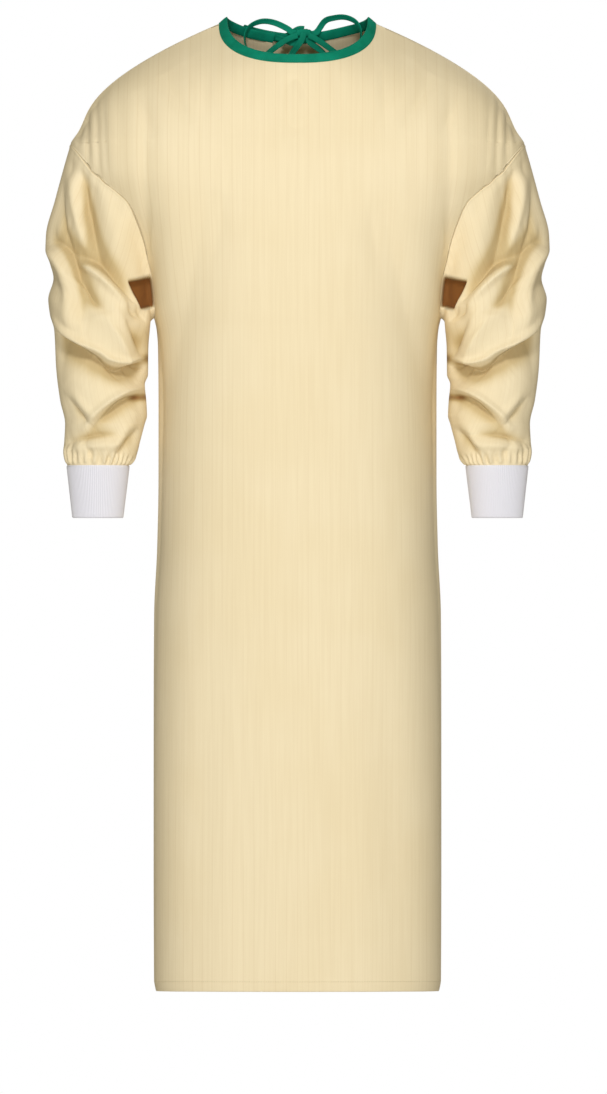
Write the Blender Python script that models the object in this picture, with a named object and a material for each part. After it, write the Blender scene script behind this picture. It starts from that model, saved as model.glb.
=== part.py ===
"""Isolation gown in its worn shape, with nobody in it.

The cloth is a thin wall all over: one front, two lapped backs, two long sleeves set into dropped
armholes, two knit cuffs, a bound neck, and the neck tie, tied in a bow at the centre back.

+Z is up, the front faces -Y and +X is the wearer's left. The origin is the middle of the neck opening
at the height of its two shoulder points. A turn is an angle round the body: 0 at the centre front,
90 degrees at the wearer's left side and 180 at the centre back.
"""

import math
from collections import namedtuple

import bmesh
import bpy
import numpy as np

MM = 0.001
TAU = 2 * math.pi
QUARTER = math.pi / 2
MIRROR = np.array([-1, 1, 1])
SIDEWAYS = np.array([1, 0, 0])
LEVEL = np.array([1, 1, 0])
LEAN_UP = np.array([0, 0, 0.05])

# Walls and seams
WALL = 1.6 * MM
BINDING_WALL = 2.4 * MM
CUFF_WALL = 2.2 * MM
SEAM_GAP = 0.3 * MM
MITRE_LIMIT = 2.2
RIM_SPLIT = (0.31, 0.17, 0.93)

# Heights that drive the body
HEM_LEVEL = -1270 * MM
UNDERARM_LEVEL = -392 * MM
SHOULDER_LEVEL = -167 * MM
HEM_BAND = 15 * MM
FRONT_HEM_LIFT = 8 * MM

# Rows and columns of the walls
FRONT_COLUMNS = 22
BACK_COLUMNS = 13
SKIRT_ROWS = 15
YOKE_ROWS = 6
HALF_SLEEVE_COLUMNS = 14
SLEEVE_COLUMNS = 2 * HALF_SLEEVE_COLUMNS
SLEEVE_RINGS = 28
CUFF_RINGS = 4
UNDERARM_ROW = 1 + SKIRT_ROWS
SHOULDER_ROW = UNDERARM_ROW + HALF_SLEEVE_COLUMNS
NECK_ROW = SHOULDER_ROW + YOKE_ROWS

# Level, half width, depth to the front, depth to the back and squareness of each section of the body, in mm
Section = namedtuple("Section", "level half_width front back squareness")
SECTIONS = (
    Section(-1270, 184.5, 128, 119, 2.5),
    Section(-1255, 187.0, 129, 120, 2.5),
    Section(-1100, 187.5, 131, 121, 2.5),
    Section(-900, 187.5, 133, 121, 2.5),
    Section(-780, 187.0, 134, 118, 2.45),
    Section(-690, 183.0, 134, 109, 2.4),
    Section(-600, 181.3, 134, 101, 2.4),
    Section(-500, 181.3, 136, 102, 2.4),
    Section(-430, 182.0, 138, 109, 2.4),
    Section(-407, 183.8, 138, 111, 2.4),
    Section(-392, 187.3, 139, 113, 2.4),
    Section(-343, 198.3, 140, 118, 2.4),
    Section(-292, 216.3, 140, 121, 2.4),
    Section(-246, 252.0, 138, 121, 2.4),
    Section(-204, 290.0, 135.8, 120.2, 2.4),
    Section(-185, 295.3, 133.0, 118, 2.4),
    Section(-167, 296.0, 129, 114, 2.4),
)

# The neck seam and the finished neck edge: half width, depths and heights, in mm
NeckRing = namedtuple("NeckRing", "half_width front back front_z side_z back_z")
NECK_SEAM = NeckRing(101.0, 93.5, 71.5, -66.0, -8.0, -29.0)
NECK_EDGE = NeckRing(91.5, 88.5, 66.5, -55.3, 0.0, -17.8)
NECK_SQUARENESS = 2.2
FRONT_NECK_SQUARENESS = 2.45
BACK_NECK_SQUARENESS = 1.35
SHOULDER_SLOPE = 1.93
CENTRE_SLOPE = 1.55

# Where the armhole seam crosses each level, from in front, in mm
ArmholeStop = namedtuple("ArmholeStop", "level front_x back_x")
ARMHOLE = (
    ArmholeStop(-167, 296.0, 296.0),
    ArmholeStop(-184, 283.0, 286.0),
    ArmholeStop(-204, 269.0, 272.5),
    ArmholeStop(-218, 254.0, 260.0),
    ArmholeStop(-233, 234.0, 246.5),
    ArmholeStop(-248, 219.0, 234.0),
    ArmholeStop(-270, 209.5, 220.0),
    ArmholeStop(-295, 202.5, 209.5),
    ArmholeStop(-320, 198.0, 201.5),
    ArmholeStop(-345, 194.0, 195.0),
    ArmholeStop(-370, 189.5, 190.0),
    ArmholeStop(-392, 187.3, 187.3),
)

# The two edges of a sleeve as seen from in front, in mm
Edge = namedtuple("Edge", "level x")
SLEEVE_OUTER_EDGE = (
    Edge(-167, 296.0),
    Edge(-187, 302.0),
    Edge(-239, 316.2),
    Edge(-285, 328.0),
    Edge(-303, 328.6),
    Edge(-322, 322.5),
    Edge(-341, 318.0),
    Edge(-368, 324.7),
    Edge(-388, 322.5),
    Edge(-408, 317.0),
    Edge(-458, 314.3),
    Edge(-500, 309.0),
    Edge(-531, 302.5),
    Edge(-562, 303.8),
    Edge(-585, 299.3),
)
SLEEVE_INNER_EDGE = (
    Edge(-392, 187.3),
    Edge(-399, 192.5),
    Edge(-411, 193.3),
    Edge(-434, 194.5),
    Edge(-466, 194.8),
    Edge(-479, 199.0),
    Edge(-500, 197.0),
    Edge(-520, 196.0),
    Edge(-531, 199.0),
    Edge(-552, 204.5),
    Edge(-573, 210.0),
    Edge(-585, 219.7),
)
# How far a sleeve reaches to the front and back of its middle, and where its middle lies, by length
SleeveDepth = namedtuple("SleeveDepth", "share front back middle_y")
SLEEVE_DEPTHS = (
    SleeveDepth(0.0, 82, 80, 0),
    SleeveDepth(0.25, 76, 72, -2),
    SleeveDepth(0.5, 68, 64, -6),
    SleeveDepth(0.75, 57, 54, -12),
    SleeveDepth(0.9, 48, 46, -16),
    SleeveDepth(1.0, 34, 34, -18),
)
ARMHOLE_FADE = 0.4
SLEEVE_SQUARENESS = 2.15

# The cuff, a tapered tube
SLEEVE_END = -585 * MM
CUFF_TOP = -585.8 * MM
CUFF_BOTTOM = -652 * MM
CUFF_MIDDLE_X = 259.5 * MM
CUFF_MIDDLE_Y = -18 * MM
CUFF_TOP_HALVES = (39.8 * MM, 34 * MM)
CUFF_BOTTOM_HALVES = (32 * MM, 25 * MM)

# How far past the centre back each lap's free edge reaches, at the neck and at the hem
OUTER_LAP_REACH = (75 * MM, 130 * MM)
INNER_LAP_REACH = (-33 * MM, 95 * MM)
# How far each lap stands off the middle, and the turns, in degrees, between which it gets there
LAP_OFFSET = 3.0 * MM
LAP_START, LAP_FULL = 110, 150

# A fold is a soft trough along a bow through three points of the front or back view, in mm.
# Its depth is negative for a ridge. Its lip is the roll of cloth that hangs over it from above.
Fold = namedtuple("Fold", "start_x start_z middle_x middle_z end_x end_z depth width lip")
FRONT_FOLDS = (
    Fold(196, -100, 197, -220, 197, -350, 4.0, 11, 0.0),
    Fold(-196, -104, -197, -225, -197, -350, 4.0, 11, 0.0),
    Fold(171, -85, 158, -112, 140, -141, 2.5, 16, 0.0),
    Fold(-171, -85, -158, -112, -142, -137, 2.5, 16, 0.0),
    Fold(-103, -225, -122, -345, -172, -500, 4.5, 22, 0.0),
    Fold(97, -240, 112, -345, 160, -480, 4.0, 22, 0.0),
    Fold(-150, -360, -160, -520, -150, -700, 3.0, 22, 0.0),
    Fold(152, -400, 160, -560, 150, -720, 3.0, 22, 0.0),
    Fold(-100, -760, -112, -980, -118, -1270, 2.5, 30, 0.0),
    Fold(104, -820, 116, -1020, 122, -1270, 2.5, 30, 0.0),
)
BACK_FOLDS = (
    Fold(118, -170, 112, -520, 128, -1560, 8.0, 30, 0.0),
    Fold(-124, -190, -118, -560, -140, -1560, 8.5, 31, 0.0),
    Fold(62, -300, 56, -640, 66, -1560, 6.5, 29, 0.0),
    Fold(-60, -260, -66, -660, -62, -1560, 7.0, 30, 0.0),
    Fold(4, -360, -4, -700, 4, -1560, -5.5, 30, 0.0),
)
SLEEVE_FRONT_FOLDS = (
    Fold(330, -297, 302, -320, 283, -356, 7.0, 13, 3.5),
    Fold(286, -317, 258, -330, 216, -360, 8.0, 13, 4.5),
    Fold(279, -200, 274, -258, 259, -316, 6.0, 15, 0.0),
    Fold(291, -196, 288, -250, 262, -305, -4.0, 12, 0.0),
    Fold(284, -352, 283, -390, 281, -428, 5.0, 13, 0.0),
    Fold(318, -409, 284, -438, 236, -455, 8.0, 13, 4.5),
    Fold(226, -456, 210, -452, 193, -448, 7.0, 12, 2.5),
    Fold(196, -496, 238, -510, 268, -543, 7.0, 12, 3.0),
    Fold(302, -549, 270, -549, 226, -545, 3.5, 11, 1.5),
    Fold(297, -506, 283, -520, 268, -527, 3.0, 11, 1.0),
    Fold(201, -352, 208, -364, 203, -384, 14.0, 14, 0.0),
    Fold(238, -372, 226, -398, 214, -430, -4.0, 14, 0.0),
)
SLEEVE_BACK_FOLDS = (
    Fold(322, -262, 286, -300, 236, -330, 7.0, 14, 3.5),
    Fold(326, -330, 290, -352, 224, -372, 8.0, 14, 4.0),
    Fold(318, -400, 276, -412, 214, -404, 7.5, 13, 4.0),
    Fold(312, -446, 262, -470, 204, -462, 7.0, 13, 3.5),
    Fold(304, -500, 262, -512, 210, -498, 6.0, 12, 3.0),
    Fold(300, -546, 258, -552, 214, -540, 3.5, 11, 1.5),
    Fold(262, -214, 272, -262, 290, -306, 5.0, 16, 0.0),
)
FOLD_SAMPLES = 13
FOLD_END_SHARE = 0.06

# The gathers where a sleeve is eased into its cuff
GATHER_DEPTH = 1.8 * MM
GATHER_START = 0.9

# The neck tie, a flat tape. Each stop is a place in mm and how far the tape leans from facing front
TAPE_WIDTH = 8 * MM
TAPE_THICKNESS = 1.3 * MM
TAPE_STEP = 6.5 * MM
KNOT_CENTRE = (8 * MM, 61.5 * MM, -15.5 * MM)
KNOT_HALVES = (10.5 * MM, 5.0 * MM, 5.6 * MM)
KNOT_BEVEL = 2.4 * MM
TapeStop = namedtuple("TapeStop", "x y z lean")
TIE_ROUTES = {
    "bow_loop_right": (
        TapeStop(-4.6, 61.6, -15.5, 0),
        TapeStop(-7.3, 62.1, -15.1, 1),
        TapeStop(-12, 63.5, -10.5, 5),
        TapeStop(-29, 61, -2.5, 15),
        TapeStop(-44, 55, -0.5, 30),
        TapeStop(-56, 49, -4, 45),
        TapeStop(-65, 43, -11, 60),
        TapeStop(-69, 39, -21, 75),
        TapeStop(-68, 37, -33, 80),
        TapeStop(-61, 38, -47, 60),
        TapeStop(-50, 41, -51, 40),
        TapeStop(-38, 46, -43, 25),
        TapeStop(-26, 52, -33, 15),
        TapeStop(-14, 55.5, -24.5, 8),
        TapeStop(-6, 55.4, -21, 3),
        TapeStop(0, 55.5, -19, 0),
    ),
    "bow_loop_left": (
        TapeStop(20.5, 61.6, -16.5, 0),
        TapeStop(23, 62.1, -16.2, -1),
        TapeStop(27.5, 62.5, -11.5, -5),
        TapeStop(36, 57, 0, -15),
        TapeStop(47, 49, 3, -25),
        TapeStop(60, 40, 3.5, -35),
        TapeStop(72, 31, -1, -45),
        TapeStop(80, 24, -9, -60),
        TapeStop(83, 20, -21, -75),
        TapeStop(80, 19, -35, -75),
        TapeStop(71, 23, -48, -60),
        TapeStop(59, 30, -49, -40),
        TapeStop(48, 39, -42, -25),
        TapeStop(37, 48, -33, -15),
        TapeStop(28, 53, -26.5, -8),
        TapeStop(20, 55, -21.5, -3),
        TapeStop(14.5, 55.5, -19, 0),
    ),
    "tie_end_right": (
        TapeStop(7.5, 55.5, -15.5, 0),
        TapeStop(6.5, 54, -23.5, 0),
        TapeStop(1, 53, -32, 0),
        TapeStop(-5, 53, -40, 0),
        TapeStop(-9.5, 52.5, -49, 0),
        TapeStop(-13, 53, -72, 0),
        TapeStop(-12, 56, -98, -8),
        TapeStop(-16, 58, -122, -4),
    ),
    "tie_end_left": (
        TapeStop(14, 58.5, -21.8, 0),
        TapeStop(14, 58.5, -26, 0),
        TapeStop(20, 57.5, -31.5, 5),
        TapeStop(28, 55, -37.5, 20),
        TapeStop(35, 53, -44.5, 35),
        TapeStop(39, 51, -55.5, 20),
        TapeStop(40, 51, -78, 5),
        TapeStop(37, 54, -104, 0),
        TapeStop(40, 56, -132, 6),
    ),
    "tie_lead_right": (
        TapeStop(-29.0, 64.3, -20.5, -24),
        TapeStop(-22, 64.2, -23, -15),
        TapeStop(-12, 62.5, -27, -5),
        TapeStop(-3, 61, -29.5, 0),
        TapeStop(4, 60, -27, 0),
        TapeStop(4, 60, -22.1, 0),
    ),
    "tie_lead_left": (
        TapeStop(-69.7, 56.9, -11.7, -24),
        TapeStop(-60.6, 62.2, -13.5, -24),
        TapeStop(-45.8, 68.0, -16.1, -24),
        TapeStop(-32.6, 71.0, -18.3, -24),
        TapeStop(-20, 72.8, -19.6, -20),
        TapeStop(-10, 72.9, -16.5, -8),
        TapeStop(-2, 71.4, -11, 0),
        TapeStop(3, 69, -9.3, 0),
        TapeStop(8.5, 67.2, -9.8, 0),
    ),
}

MATERIALS = {
    "yellow_cloth": ((0.88, 0.77, 0.53, 1), 0.75),
    "white_knit": ((0.78, 0.76, 0.80, 1), 0.9),
    "green_binding": ((0.004, 0.24, 0.14, 1), 0.7),
}


def smooth_step(value, low, high):
    share = np.clip((value - low) / (high - low), 0, 1)
    return share * share * (3 - 2 * share)


def mix(first, second, share):
    return first + (second - first) * share


def unit(vectors):
    return vectors / np.maximum(np.linalg.norm(vectors, axis=-1, keepdims=True), 1e-12)


def across_table(rows, column, at):
    """A column of a table, read along its first column by a cubic that never overshoots its rows."""
    order = sorted(rows, key=lambda row: row[0])
    xs = np.array([row[0] for row in order], float)
    ys = np.array([getattr(row, column) for row in order], float)
    steps = np.diff(ys) / np.diff(xs)
    slopes = np.zeros(len(xs))
    slopes[0], slopes[-1] = steps[0], steps[-1]
    rising = steps[:-1] * steps[1:] > 0
    means = 2 * steps[:-1] * steps[1:] / np.where(rising, steps[:-1] + steps[1:], 1)
    slopes[1:-1] = np.where(rising, means, 0)
    at = np.clip(np.asarray(at, float), xs[0], xs[-1])
    i = np.clip(np.searchsorted(xs, at) - 1, 0, len(xs) - 2)
    width = xs[i + 1] - xs[i]
    t = (at - xs[i]) / width
    rise = (2 * t**3 - 3 * t**2 + 1) * ys[i] + (3 * t**2 - 2 * t**3) * ys[i + 1]
    return rise + width * ((t**3 - 2 * t**2 + t) * slopes[i] + (t**3 - t**2) * slopes[i + 1])


def signed_power(value, power):
    return np.sign(value) * np.abs(value) ** power


def spread(line, count):
    """The line again, with count equal steps along its length."""
    lengths = np.concatenate([[0], np.cumsum(np.linalg.norm(np.diff(line, axis=0), axis=1))])
    stops = np.linspace(0, lengths[-1], count + 1)
    return np.stack([np.interp(stops, lengths, line[:, axis]) for axis in range(3)], axis=1)


def fold_height(x, z, folds):
    """How far the folds move the cloth out, in metres, at places in the front or back view."""
    x, z = np.asarray(x) / MM, np.asarray(z) / MM
    height = np.zeros(x.shape)
    t = np.linspace(0, 1, FOLD_SAMPLES)
    for fold in folds:
        start = np.array([fold.start_x, fold.start_z])
        end = np.array([fold.end_x, fold.end_z])
        bow = 2 * np.array([fold.middle_x, fold.middle_z]) - (start + end) / 2
        line = (
            np.outer((1 - t) ** 2, start) + np.outer(2 * t * (1 - t), bow) + np.outer(t**2, end)
        )
        away_x = x[..., None] - line[:, 0]
        away_z = z[..., None] - line[:, 1]
        nearest = np.argmin(away_x**2 + away_z**2, axis=-1)
        gap_x = np.take_along_axis(away_x, nearest[..., None], -1)[..., 0]
        gap_z = np.take_along_axis(away_z, nearest[..., None], -1)[..., 0]
        along = np.gradient(line, axis=0)[nearest]
        length = np.hypot(along[..., 0], along[..., 1])
        upward = np.sign(along[..., 0]) + (along[..., 0] == 0)
        above = (gap_z * along[..., 0] - gap_x * along[..., 1]) / length * upward
        away = np.hypot(gap_x, gap_z)
        fade = np.sin(math.pi * mix(FOLD_END_SHARE, 1 - FOLD_END_SHARE, t[nearest]))
        trough = -fold.depth * np.exp(-((away / fold.width) ** 2))
        lip = fold.lip * np.exp(-(((above - 1.5 * fold.width) / fold.width) ** 2))
        lip = lip * np.exp(-((np.sqrt(np.maximum(away**2 - above**2, 0)) / fold.width) ** 2))
        height += (trough + lip) * fade
    return height * MM


def neck_point(turn, share):
    """A point of the neck band: share 0 is on its seam and share 1 on the finished edge."""
    ring = NeckRing(*[mix(a, b, share) * MM for a, b in zip(NECK_SEAM, NECK_EDGE)])
    side, ahead = np.sin(turn), np.cos(turn)
    x = signed_power(side, 2 / NECK_SQUARENESS)
    y = -signed_power(ahead, 2 / NECK_SQUARENESS)
    across = np.clip(np.abs(x), 0, 1)
    front_drop = (1 - across**FRONT_NECK_SQUARENESS) ** (1 / FRONT_NECK_SQUARENESS)
    back_drop = (1 - across**BACK_NECK_SQUARENESS) ** (1 / BACK_NECK_SQUARENESS)
    front_z = ring.side_z + (ring.front_z - ring.side_z) * front_drop
    back_z = ring.side_z + (ring.back_z - ring.side_z) * back_drop
    is_front = ahead > 0
    return np.stack(
        [
            ring.half_width * x,
            np.where(is_front, ring.front, ring.back) * y,
            np.where(is_front, front_z, back_z),
        ],
        axis=-1,
    )


def neck_turn(points):
    """The turns of points that lie on the neck seam."""
    depth = np.where(points[:, 1] > 0, NECK_SEAM.back, NECK_SEAM.front) * MM
    side = signed_power(points[:, 0] / (NECK_SEAM.half_width * MM), NECK_SQUARENESS / 2)
    ahead = signed_power(-points[:, 1] / depth, NECK_SQUARENESS / 2)
    return np.arctan2(side, ahead)


def tube_point(turn, level):
    """A point of the plain body below the shoulders."""
    turn, level = np.broadcast_arrays(turn, level)
    mm = level / MM
    power = 2 / across_table(SECTIONS, "squareness", mm)
    side, ahead = np.sin(turn), np.cos(turn)
    x = across_table(SECTIONS, "half_width", mm) * MM * signed_power(side, power)
    front = across_table(SECTIONS, "front", mm) * MM
    back = across_table(SECTIONS, "back", mm) * MM
    y = -np.where(ahead > 0, front, back) * signed_power(ahead, power)
    near_hem = 1 - smooth_step(level, HEM_LEVEL, HEM_LEVEL + 0.25)
    lift = FRONT_HEM_LIFT * np.clip(ahead, 0, 1) ** 0.8 * near_hem
    return np.stack([x, y, level + lift], axis=-1)


def plain_torso(turn, height):
    """The body without its folds. Height is the level up to the shoulders, then runs on to 1 at the neck.

    The yoke starts with the lean of the body below it.
    """
    turn, height = np.broadcast_arrays(turn, height)
    low = tube_point(turn, np.minimum(height, SHOULDER_LEVEL))
    rise = np.clip((height - SHOULDER_LEVEL) / (1 - SHOULDER_LEVEL), 0, 1)
    ring = neck_point(turn, 0)
    slope = mix(CENTRE_SLOPE, SHOULDER_SLOPE, np.sin(turn) ** 2)
    climb = ring[..., 2] - low[..., 2]
    lean = (low - tube_point(turn, SHOULDER_LEVEL - MM))[..., :2] / MM * (height > SHOULDER_LEVEL)[..., None]
    carried = lean * (climb * rise * (1 - rise) ** 3)[..., None]
    flat = low[..., :2] + (ring[..., :2] - low[..., :2]) * (rise**slope)[..., None] + carried
    z = low[..., 2] + climb * rise
    return np.concatenate([flat, z[..., None]], axis=-1)


def torso_normal(turn, height):
    step_turn, step_up = math.radians(1.5), np.where(height > SHOULDER_LEVEL, 0.02, 0.004)
    lower = np.where(height > SHOULDER_LEVEL, np.maximum(height - step_up, SHOULDER_LEVEL), height - step_up)
    round_body = plain_torso(turn + step_turn, height) - plain_torso(turn - step_turn, height)
    up_body = plain_torso(turn, height + step_up * (height < 1 - step_up)) - plain_torso(turn, lower)
    return unit(np.cross(round_body, up_body))


def lap_offset(turn):
    """The left back stands out over the right back, which stands in under it."""
    degrees = np.degrees(turn)
    outer = smooth_step(degrees, LAP_START, LAP_FULL)
    inner = smooth_step(-degrees, LAP_START, LAP_FULL)
    return LAP_OFFSET * (outer - inner)


def torso_point(turn, height):
    turn, height = np.broadcast_arrays(turn, height)
    plain = plain_torso(turn, height)
    ahead = np.cos(turn)
    folds = np.where(
        ahead > 0,
        fold_height(plain[..., 0], plain[..., 2], FRONT_FOLDS) * smooth_step(ahead, 0, 0.12),
        fold_height(plain[..., 0], plain[..., 2], BACK_FOLDS) * smooth_step(-ahead, 0, 0.3),
    )
    out = folds + lap_offset(turn)
    return plain + torso_normal(turn, height) * out[..., None]


def armhole_half(column, is_front):
    """One branch of the left armhole seam, from the shoulder point down to the underarm point."""
    levels = np.linspace(SHOULDER_LEVEL, UNDERARM_LEVEL, 240)
    x = across_table(ARMHOLE, column, levels / MM) * MM
    widest = across_table(SECTIONS, "half_width", levels / MM) * MM
    power = across_table(SECTIONS, "squareness", levels / MM)
    side = np.clip(x / widest, 0, 1) ** (power / 2)
    turns = np.arcsin(np.clip(side, 0, 1))
    turns = turns if is_front else math.pi - turns
    line = torso_point(turns, levels)
    lengths = np.concatenate([[0], np.cumsum(np.linalg.norm(np.diff(line, axis=0), axis=1))])
    stops = np.linspace(0, lengths[-1], HALF_SLEEVE_COLUMNS + 1)
    return np.interp(stops, lengths, turns), np.interp(stops, lengths, levels)


def row_heights(armhole_levels):
    """The rows of a body panel from the hem up: skirt, then one for each armhole stop, then yoke."""
    skirt = np.linspace(HEM_LEVEL + HEM_BAND, UNDERARM_LEVEL - 16 * MM, SKIRT_ROWS)
    yoke = mix(SHOULDER_LEVEL, 1, np.linspace(0, 1, YOKE_ROWS + 1)[1:])
    return np.concatenate([[HEM_LEVEL], skirt, armhole_levels[::-1], yoke])


def panel(first_turns, last_turns, heights, columns):
    """A grid of points, a row for each height, each row in equal steps from its first turn to its last."""
    rows = []
    for first, last, height in zip(first_turns, last_turns, heights):
        fine = torso_point(np.linspace(first, last, 160), height)
        rows.append(spread(fine, columns))
    return np.array(rows)


def side_turns(armhole_turns):
    """The turn of a panel's armhole side in each row."""
    turns = np.full(NECK_ROW + 1, QUARTER)
    turns[UNDERARM_ROW : SHOULDER_ROW + 1] = armhole_turns[::-1]
    return turns


def lap_turns(reach, heights):
    """The turn of a free back edge in each row, straight from the neck to the hem."""
    levels = np.where(heights > SHOULDER_LEVEL, SHOULDER_LEVEL * (1 - heights), heights)
    past_centre = mix(*reach, np.clip(levels / HEM_LEVEL, 0, 1))
    turns = np.linspace(QUARTER, 3 * QUARTER, 181)
    found = []
    for past, height in zip(past_centre, heights):
        across = -plain_torso(turns, height)[:, 0]
        found.append(np.interp(past, across, turns))
    return np.array(found)


def seam_frame(seam, first, second, outward, closed=False):
    """For each point of a seam: the mitred half-wall direction, and the direction into the first piece."""
    if closed:
        along = np.roll(seam, -1, axis=0) - np.roll(seam, 1, axis=0)
    else:
        along = np.gradient(seam, axis=0)
    along = unit(along)

    def square(points):
        away = points - seam
        return unit(away - along * np.sum(away * along, axis=1, keepdims=True))

    into_first, into_second = square(first), square(second)
    first_normal = np.cross(along, into_first)
    first_normal *= np.sign(np.sum(first_normal * outward, axis=1, keepdims=True))
    turn_sign = np.sign(np.sum(np.cross(along, into_first) * first_normal, axis=1, keepdims=True))
    second_normal = -turn_sign * np.cross(along, into_second)
    both = 1 + np.sum(first_normal * second_normal, axis=1, keepdims=True)
    mitre = (first_normal + second_normal) / np.maximum(both, 0.02)
    size = np.linalg.norm(mitre, axis=1, keepdims=True)
    mitre = mitre / np.maximum(size, 1e-9) * np.minimum(size, MITRE_LIMIT)
    inward = unit(np.cross(mitre, along))
    inward *= np.sign(np.sum(inward * (into_first - into_second), axis=1, keepdims=True))
    return mitre, inward


def flattest_split(places):
    """The two triangles of a four-cornered patch, split so that they bend least."""
    a, b, c, d = places
    first = [np.cross(b - a, c - a), np.cross(c - a, d - a)]
    second = [np.cross(b - a, d - a), np.cross(c - b, d - b)]
    first_bend, second_bend = [np.dot(*unit(np.array(pair))) for pair in (first, second)]
    return ((0, 1, 2), (0, 2, 3)) if first_bend > second_bend else ((0, 1, 3), (1, 2, 3))


class Wall:
    """A grid of cloth with a half-wall vector at each point, pulled back from its seams."""

    def __init__(self, middle, thickness, closed=False):
        self.middle = middle
        self.thickness = thickness
        self.closed = closed
        across = np.gradient(middle, axis=1)
        if closed:
            across = np.roll(middle, -1, axis=1) - np.roll(middle, 1, axis=1)
        self.half = unit(np.cross(across, np.gradient(middle, axis=0)))
        self.shift = np.zeros(middle.shape)

    def sew(self, rows, columns, mitre, inward):
        """Gives one edge of the grid the shared mitre of its seam and half of the seam's gap."""
        self.half[rows, columns] = mitre
        self.shift[rows, columns] += inward * SEAM_GAP / 2

    def build(self, name, material, flipped=False):
        half = self.half * self.thickness / 2
        middle = self.middle + self.shift
        rows, columns = middle.shape[:2]
        points = np.concatenate([(middle + half).reshape(-1, 3), (middle - half).reshape(-1, 3)])
        last = columns if self.closed else columns - 1

        def index(row, column, layer):
            return layer * rows * columns + row * columns + column % columns

        faces = []
        for row in range(rows - 1):
            for column in range(last):
                corners = ((row, column), (row, column + 1), (row + 1, column + 1), (row + 1, column))
                places = [middle[r, c % columns] for r, c in corners]
                for triangle in flattest_split(places):
                    faces.append([index(*corners[i], 0) for i in triangle])
                    faces.append([index(*corners[i], 1) for i in reversed(triangle)])
        rim = [((0, c), (0, c + 1)) for c in range(last)]
        rim += [((rows - 1, c + 1), (rows - 1, c)) for c in range(last)]
        if not self.closed:
            rim += [((r + 1, 0), (r, 0)) for r in range(rows - 1)]
            rim += [((r, columns - 1), (r + 1, columns - 1)) for r in range(rows - 1)]
        for near, far in rim:
            corners = [index(*far, 0), index(*near, 0), index(*near, 1), index(*far, 1)]
            # Both pieces at a seam split its rim along the same slant
            ends = [middle[row, column % columns] for row, column in (near, far)]
            start = int(np.dot(ends[0] - ends[1], RIM_SPLIT) > 0)
            a, b, c, d = corners[start:] + corners[:start]
            faces += [[a, b, c], [a, c, d]]
        if flipped:
            faces = [face[::-1] for face in faces]
        return make_object(name, points, faces, material)


def make_object(name, points, faces, material):
    mesh = bpy.data.meshes.new(name)
    mesh.from_pydata([tuple(map(float, point)) for point in points], [], faces)
    mesh.validate()
    mesh.materials.append(MATERIALS_MADE[material])
    mesh.shade_smooth()
    thing = bpy.data.objects.new(name, mesh)
    bpy.context.scene.collection.objects.link(thing)
    return thing


def make_materials():
    made = {}
    for name, (colour, roughness) in MATERIALS.items():
        material = bpy.data.materials.new(name)
        material.use_nodes = True
        shader = material.node_tree.nodes["Principled BSDF"]
        shader.inputs["Base Color"].default_value = colour
        shader.inputs["Roughness"].default_value = roughness
        shader.inputs["Metallic"].default_value = 0
        material.diffuse_color = colour
        made[name] = material
    return made


def clear_scene():
    for thing in list(bpy.data.objects):
        bpy.data.objects.remove(thing, do_unlink=True)


def sleeve_rings(armhole):
    """The left sleeve, a ring for each step from the armhole to the cuff.

    Each ring starts at the outer edge and goes round by the front.
    """
    around = np.arange(SLEEVE_COLUMNS) / SLEEVE_COLUMNS * TAU
    side = signed_power(np.cos(around), 2 / SLEEVE_SQUARENESS)
    ahead = signed_power(np.sin(around), 2 / SLEEVE_SQUARENESS)

    def plain_ring(share):
        outer_z = mix(SHOULDER_LEVEL, SLEEVE_END, share)
        inner_z = mix(UNDERARM_LEVEL, SLEEVE_END, share)
        outer_x = across_table(SLEEVE_OUTER_EDGE, "x", outer_z / MM) * MM
        inner_x = across_table(SLEEVE_INNER_EDGE, "x", inner_z / MM) * MM
        front = across_table(SLEEVE_DEPTHS, "front", share) * MM
        back = across_table(SLEEVE_DEPTHS, "back", share) * MM
        middle_y = across_table(SLEEVE_DEPTHS, "middle_y", share) * MM
        x = (outer_x + inner_x) / 2 + (outer_x - inner_x) / 2 * side
        z = (outer_z + inner_z) / 2 + (outer_z - inner_z) / 2 * side
        y = middle_y - np.where(ahead > 0, front, back) * ahead
        return np.stack([x, y, z], axis=-1)

    shares = np.linspace(0, 1, SLEEVE_RINGS + 1)
    remainder = armhole - plain_ring(0)
    grid = np.array([plain_ring(s) + remainder * (1 - smooth_step(s, 0, ARMHOLE_FADE)) for s in shares])
    across = np.roll(grid, -1, axis=1) - np.roll(grid, 1, axis=1)
    normal = unit(np.cross(across, np.gradient(grid, axis=0)))
    x, z, facing = grid[..., 0], grid[..., 2], normal[..., 1]
    front = fold_height(x, z, SLEEVE_FRONT_FOLDS) * smooth_step(-facing, 0, 0.45)
    back = fold_height(x, z, SLEEVE_BACK_FOLDS) * smooth_step(facing, 0, 0.45)
    ends = smooth_step(shares, 0, 0.05) * (1 - smooth_step(shares, 0.96, 1))
    height = (front + back) * ends[:, None]
    zigzag = np.where(np.arange(SLEEVE_COLUMNS) % 2 == 0, 1, -1) * (1 + 0.4 * np.sin(3 * around))
    gathers = smooth_step(shares, GATHER_START, 0.975) * (1 - smooth_step(shares, 0.99, 1.0))
    height += GATHER_DEPTH * gathers[:, None] * zigzag
    return grid + normal * height[..., None]


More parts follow.
